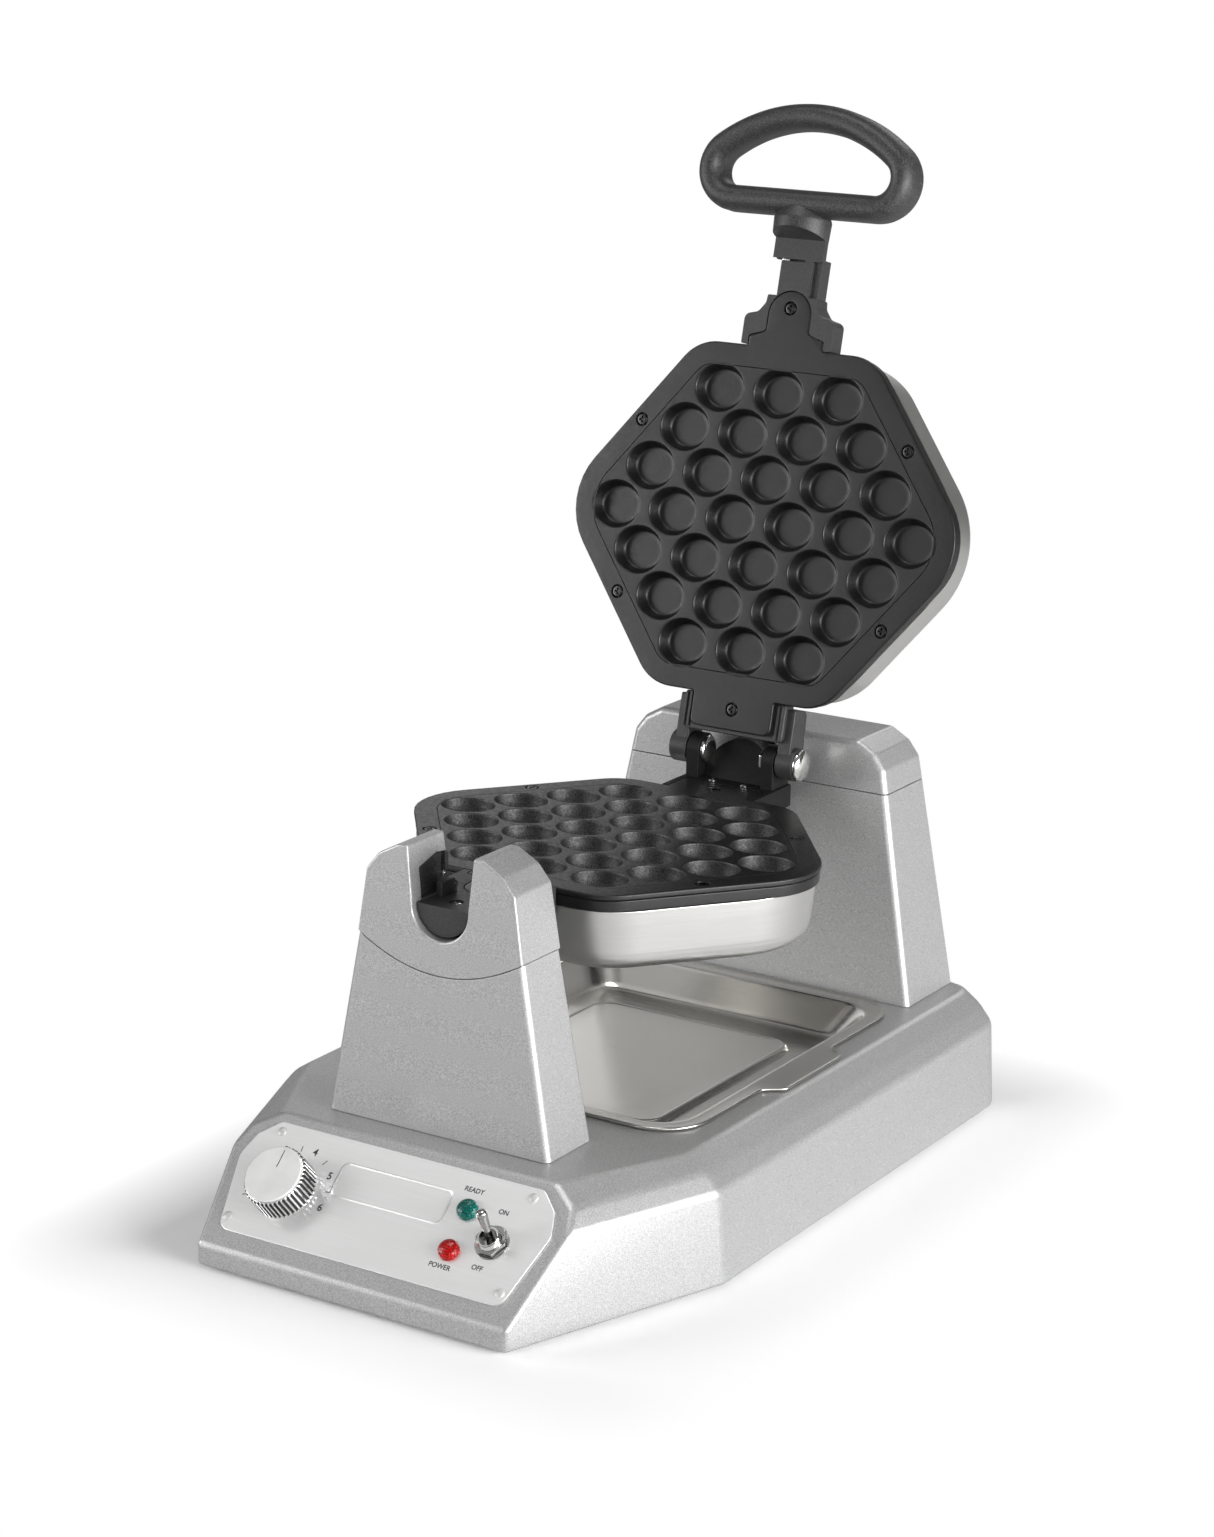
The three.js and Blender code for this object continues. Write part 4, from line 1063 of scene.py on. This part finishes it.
def kept_nodes():
    """Gives the CAD nodes that stay a material and softer edges."""
    for name, (material, width) in KEPT.items():
        node = frame["nodes"][name]
        for slot in node.material_slots:
            slot.material = material
        node.modifiers.new("weld", "WELD").merge_threshold = 0.01 * MM
        bevel = node.modifiers.new("edges", "BEVEL")
        bevel.width = width * MM
        bevel.segments = 2
        bevel.limit_method = "ANGLE"
        bevel.angle_limit = math.radians(40)


# ---- studio ----
CAMERA_AT = Vector((868.9, -1379.6, 664.0)) * MM
CAMERA_AZIMUTH = math.radians(32.174)
CAMERA_ELEVATION = math.radians(15.572)
CAMERA_ROLL = math.radians(0.918)
LENS = 80.7
SENSOR = 36
AMBIENT = 0.29
FLOOR_LIFT = 1.46
FLOOR_REACH = 40
FOOTPRINT = (0.13, 0.21)
FADE_TO_WHITE = 0.06
# centre of the floor's painted shade, which only reflections see
PAINTED_SHADE_SPOT = (-0.75, 0, 0)
AIM = Vector((0, 0, 0.2))
# place, width, height and power; True if the light shows in reflections alone
LIGHTS = {
    "right": ((2.4, -0.3, 0.6), 1.8, 1.0, 84),
    "right_front": ((1.9, -1.9, 0.6), 1.2, 0.9, 10),
    "left_front": ((-2.1, -1.5, 0.7), 1.4, 1.1, 34),
    "back_left": ((-1.5, 1.6, 0.8), 0.9, 0.9, 2.0),
    "back_top": ((-0.25, 2.0, 1.45), 0.6, 0.5, 4, True),
    "sky_card": ((-1.1, -0.5, 1.9), 1.3, 1.3, 2.8, True),
    "bowl_card": ((-0.2, -0.15, 2.1), 0.6, 0.6, 10, True),
}


def camera():
    """The photo's camera: azimuth from the front, elevation above the floor and a slight roll."""
    aside = Matrix.Rotation(CAMERA_AZIMUTH, 4, "Z")
    ahead = aside @ Matrix.Rotation(math.pi / 2 - CAMERA_ELEVATION, 4, "X")
    data = bpy.data.cameras.new("camera")
    data.lens = LENS
    data.sensor_width = SENSOR
    made = placed("camera", data)
    made.matrix_world = Matrix.Translation(CAMERA_AT) @ ahead @ Matrix.Rotation(CAMERA_ROLL, 4, "Z")
    bpy.context.scene.camera = made


def softbox(name, at, width, height, power, sheen_only=False):
    """An area light aimed at the machine; sheen_only lights show in reflections alone."""
    data = bpy.data.lights.new(name, "AREA")
    data.shape = "RECTANGLE"
    data.size = width
    data.size_y = height
    data.energy = power
    made = placed(name, data)
    made.location = at
    made.rotation_euler = (AIM - Vector(at)).to_track_quat("-Z", "Y").to_euler()
    made.visible_diffuse = not sheen_only


def ray(tree, kind):
    """A factor that is 1 for one kind of ray."""
    return add_node(tree, "ShaderNodeLightPath").outputs[kind]


def world():
    """White for the camera; for the rest a dim room, darker overhead and at the back right."""
    made = bpy.data.worlds.new("studio")
    bpy.context.scene.world = made
    made.use_nodes = True
    tree = made.node_tree
    place = add_node(tree, "ShaderNodeTexCoord").outputs["Generated"]

    def times(first, second):
        return add_node(tree, "ShaderNodeMath", {0: first, 1: second}, operation="MULTIPLY").outputs[0]

    def dimmed(direction, start, end):
        """Falls from 1 to 0.3 as a ray turns towards a direction; start and end are cosines."""
        inputs = {0: place, 1: Vector(direction).normalized()}
        toward = add_node(tree, "ShaderNodeVectorMath", inputs, operation="DOT_PRODUCT").outputs["Value"]
        inputs = {"Value": toward, "From Min": start, "From Max": end, "To Min": 1.0, "To Max": 0.3}
        return add_node(tree, "ShaderNodeMapRange", inputs).outputs[0]

    glow = times(dimmed((0.75, 0.66, 0.0), 0.2, 0.9), dimmed((-0.5, -0.2, 0.84), 0.45, 0.85))
    inputs = {0: ray(tree, "Is Camera Ray"), 6: times(glow, AMBIENT), 7: (1, 1, 1, 1)}
    mix = add_node(tree, "ShaderNodeMix", inputs, data_type="RGBA")
    tree.links.new(mix.outputs[2], tree.nodes["Background"].inputs["Color"])


def floor():
    """A pale floor that the camera sees fade to white; reflections see painted shade on it at the left, a
    dark spot that darkens the pans' left faces.
    """
    bm = bmesh.new()
    bmesh.ops.create_circle(bm, cap_ends=True, radius=FLOOR_REACH, segments=64)
    mesh = mesh_of("floor", bm)
    look = Look("floor")
    tone = look.blend(look.spread(look.noise(3), 0, 1), (0.88, 0.88, 0.88), (0.9, 0.9, 0.9))

    def vector(operation, first, second=(0, 0, 0), output="Vector"):
        return look.node("ShaderNodeVectorMath", {0: first, 1: second}, operation=operation).outputs[output]

    def diffuse(lift):
        color = vector("MULTIPLY", tone, (lift,) * 3)
        return look.node("ShaderNodeBsdfDiffuse", {"Color": color}).outputs[0]

    def ramp(value, start, end):
        inputs = {"Value": value, "From Min": start, "From Max": end}
        return look.node("ShaderNodeMapRange", inputs).outputs[0]

    def mixed(factor, first, second):
        return look.node("ShaderNodeMixShader", {0: factor, 1: first, 2: second}).outputs[0]

    white = look.node("ShaderNodeEmission", {"Strength": 1.0}).outputs[0]
    where = look.node("ShaderNodeNewGeometry").outputs["Position"]
    outside = vector("MAXIMUM", vector("SUBTRACT", vector("ABSOLUTE", where), (*FOOTPRINT, 1)))
    away = ramp(vector("LENGTH", outside, output="Value"), 0.0, FADE_TO_WHITE)
    seen = mixed(away, diffuse(FLOOR_LIFT), white)
    # painted shade: near the spot the floor turns dark for glossy rays alone, so the pans' left faces
    # reflect dark
    beside = ramp(vector("DISTANCE", where, PAINTED_SHADE_SPOT, "Value"), 0.3, 0.6)
    reflected = mixed(beside, diffuse(0.2), diffuse(1.15))
    mirrored = mixed(ray(look.tree, "Is Glossy Ray"), diffuse(1.0), reflected)
    final = mixed(ray(look.tree, "Is Camera Ray"), mirrored, seen)
    look.tree.links.new(final, look.tree.nodes["Material Output"].inputs["Surface"])
    look.tree.nodes.remove(look.shader)
    mesh.materials.append(look.material)
    placed("floor", mesh)


base()
front_pillar()
rear_pillar()
control_plate()
knob()
lamps()
toggle()
tray()
cooking_half("lower", LOWER, "rotor", lower_profile(), 12)
cooking_half("upper", LID, "lid", upper_profile(), 7)
trunnion()
lower_bracket()
hub()
hinge_bolts()
lid_bracket()
handle_arm()
grip()
kept_nodes()
camera()
world()
floor()
for name, setting in LIGHTS.items():
    softbox(name, *setting)
bpy.context.scene.view_settings.view_transform = "Standard"
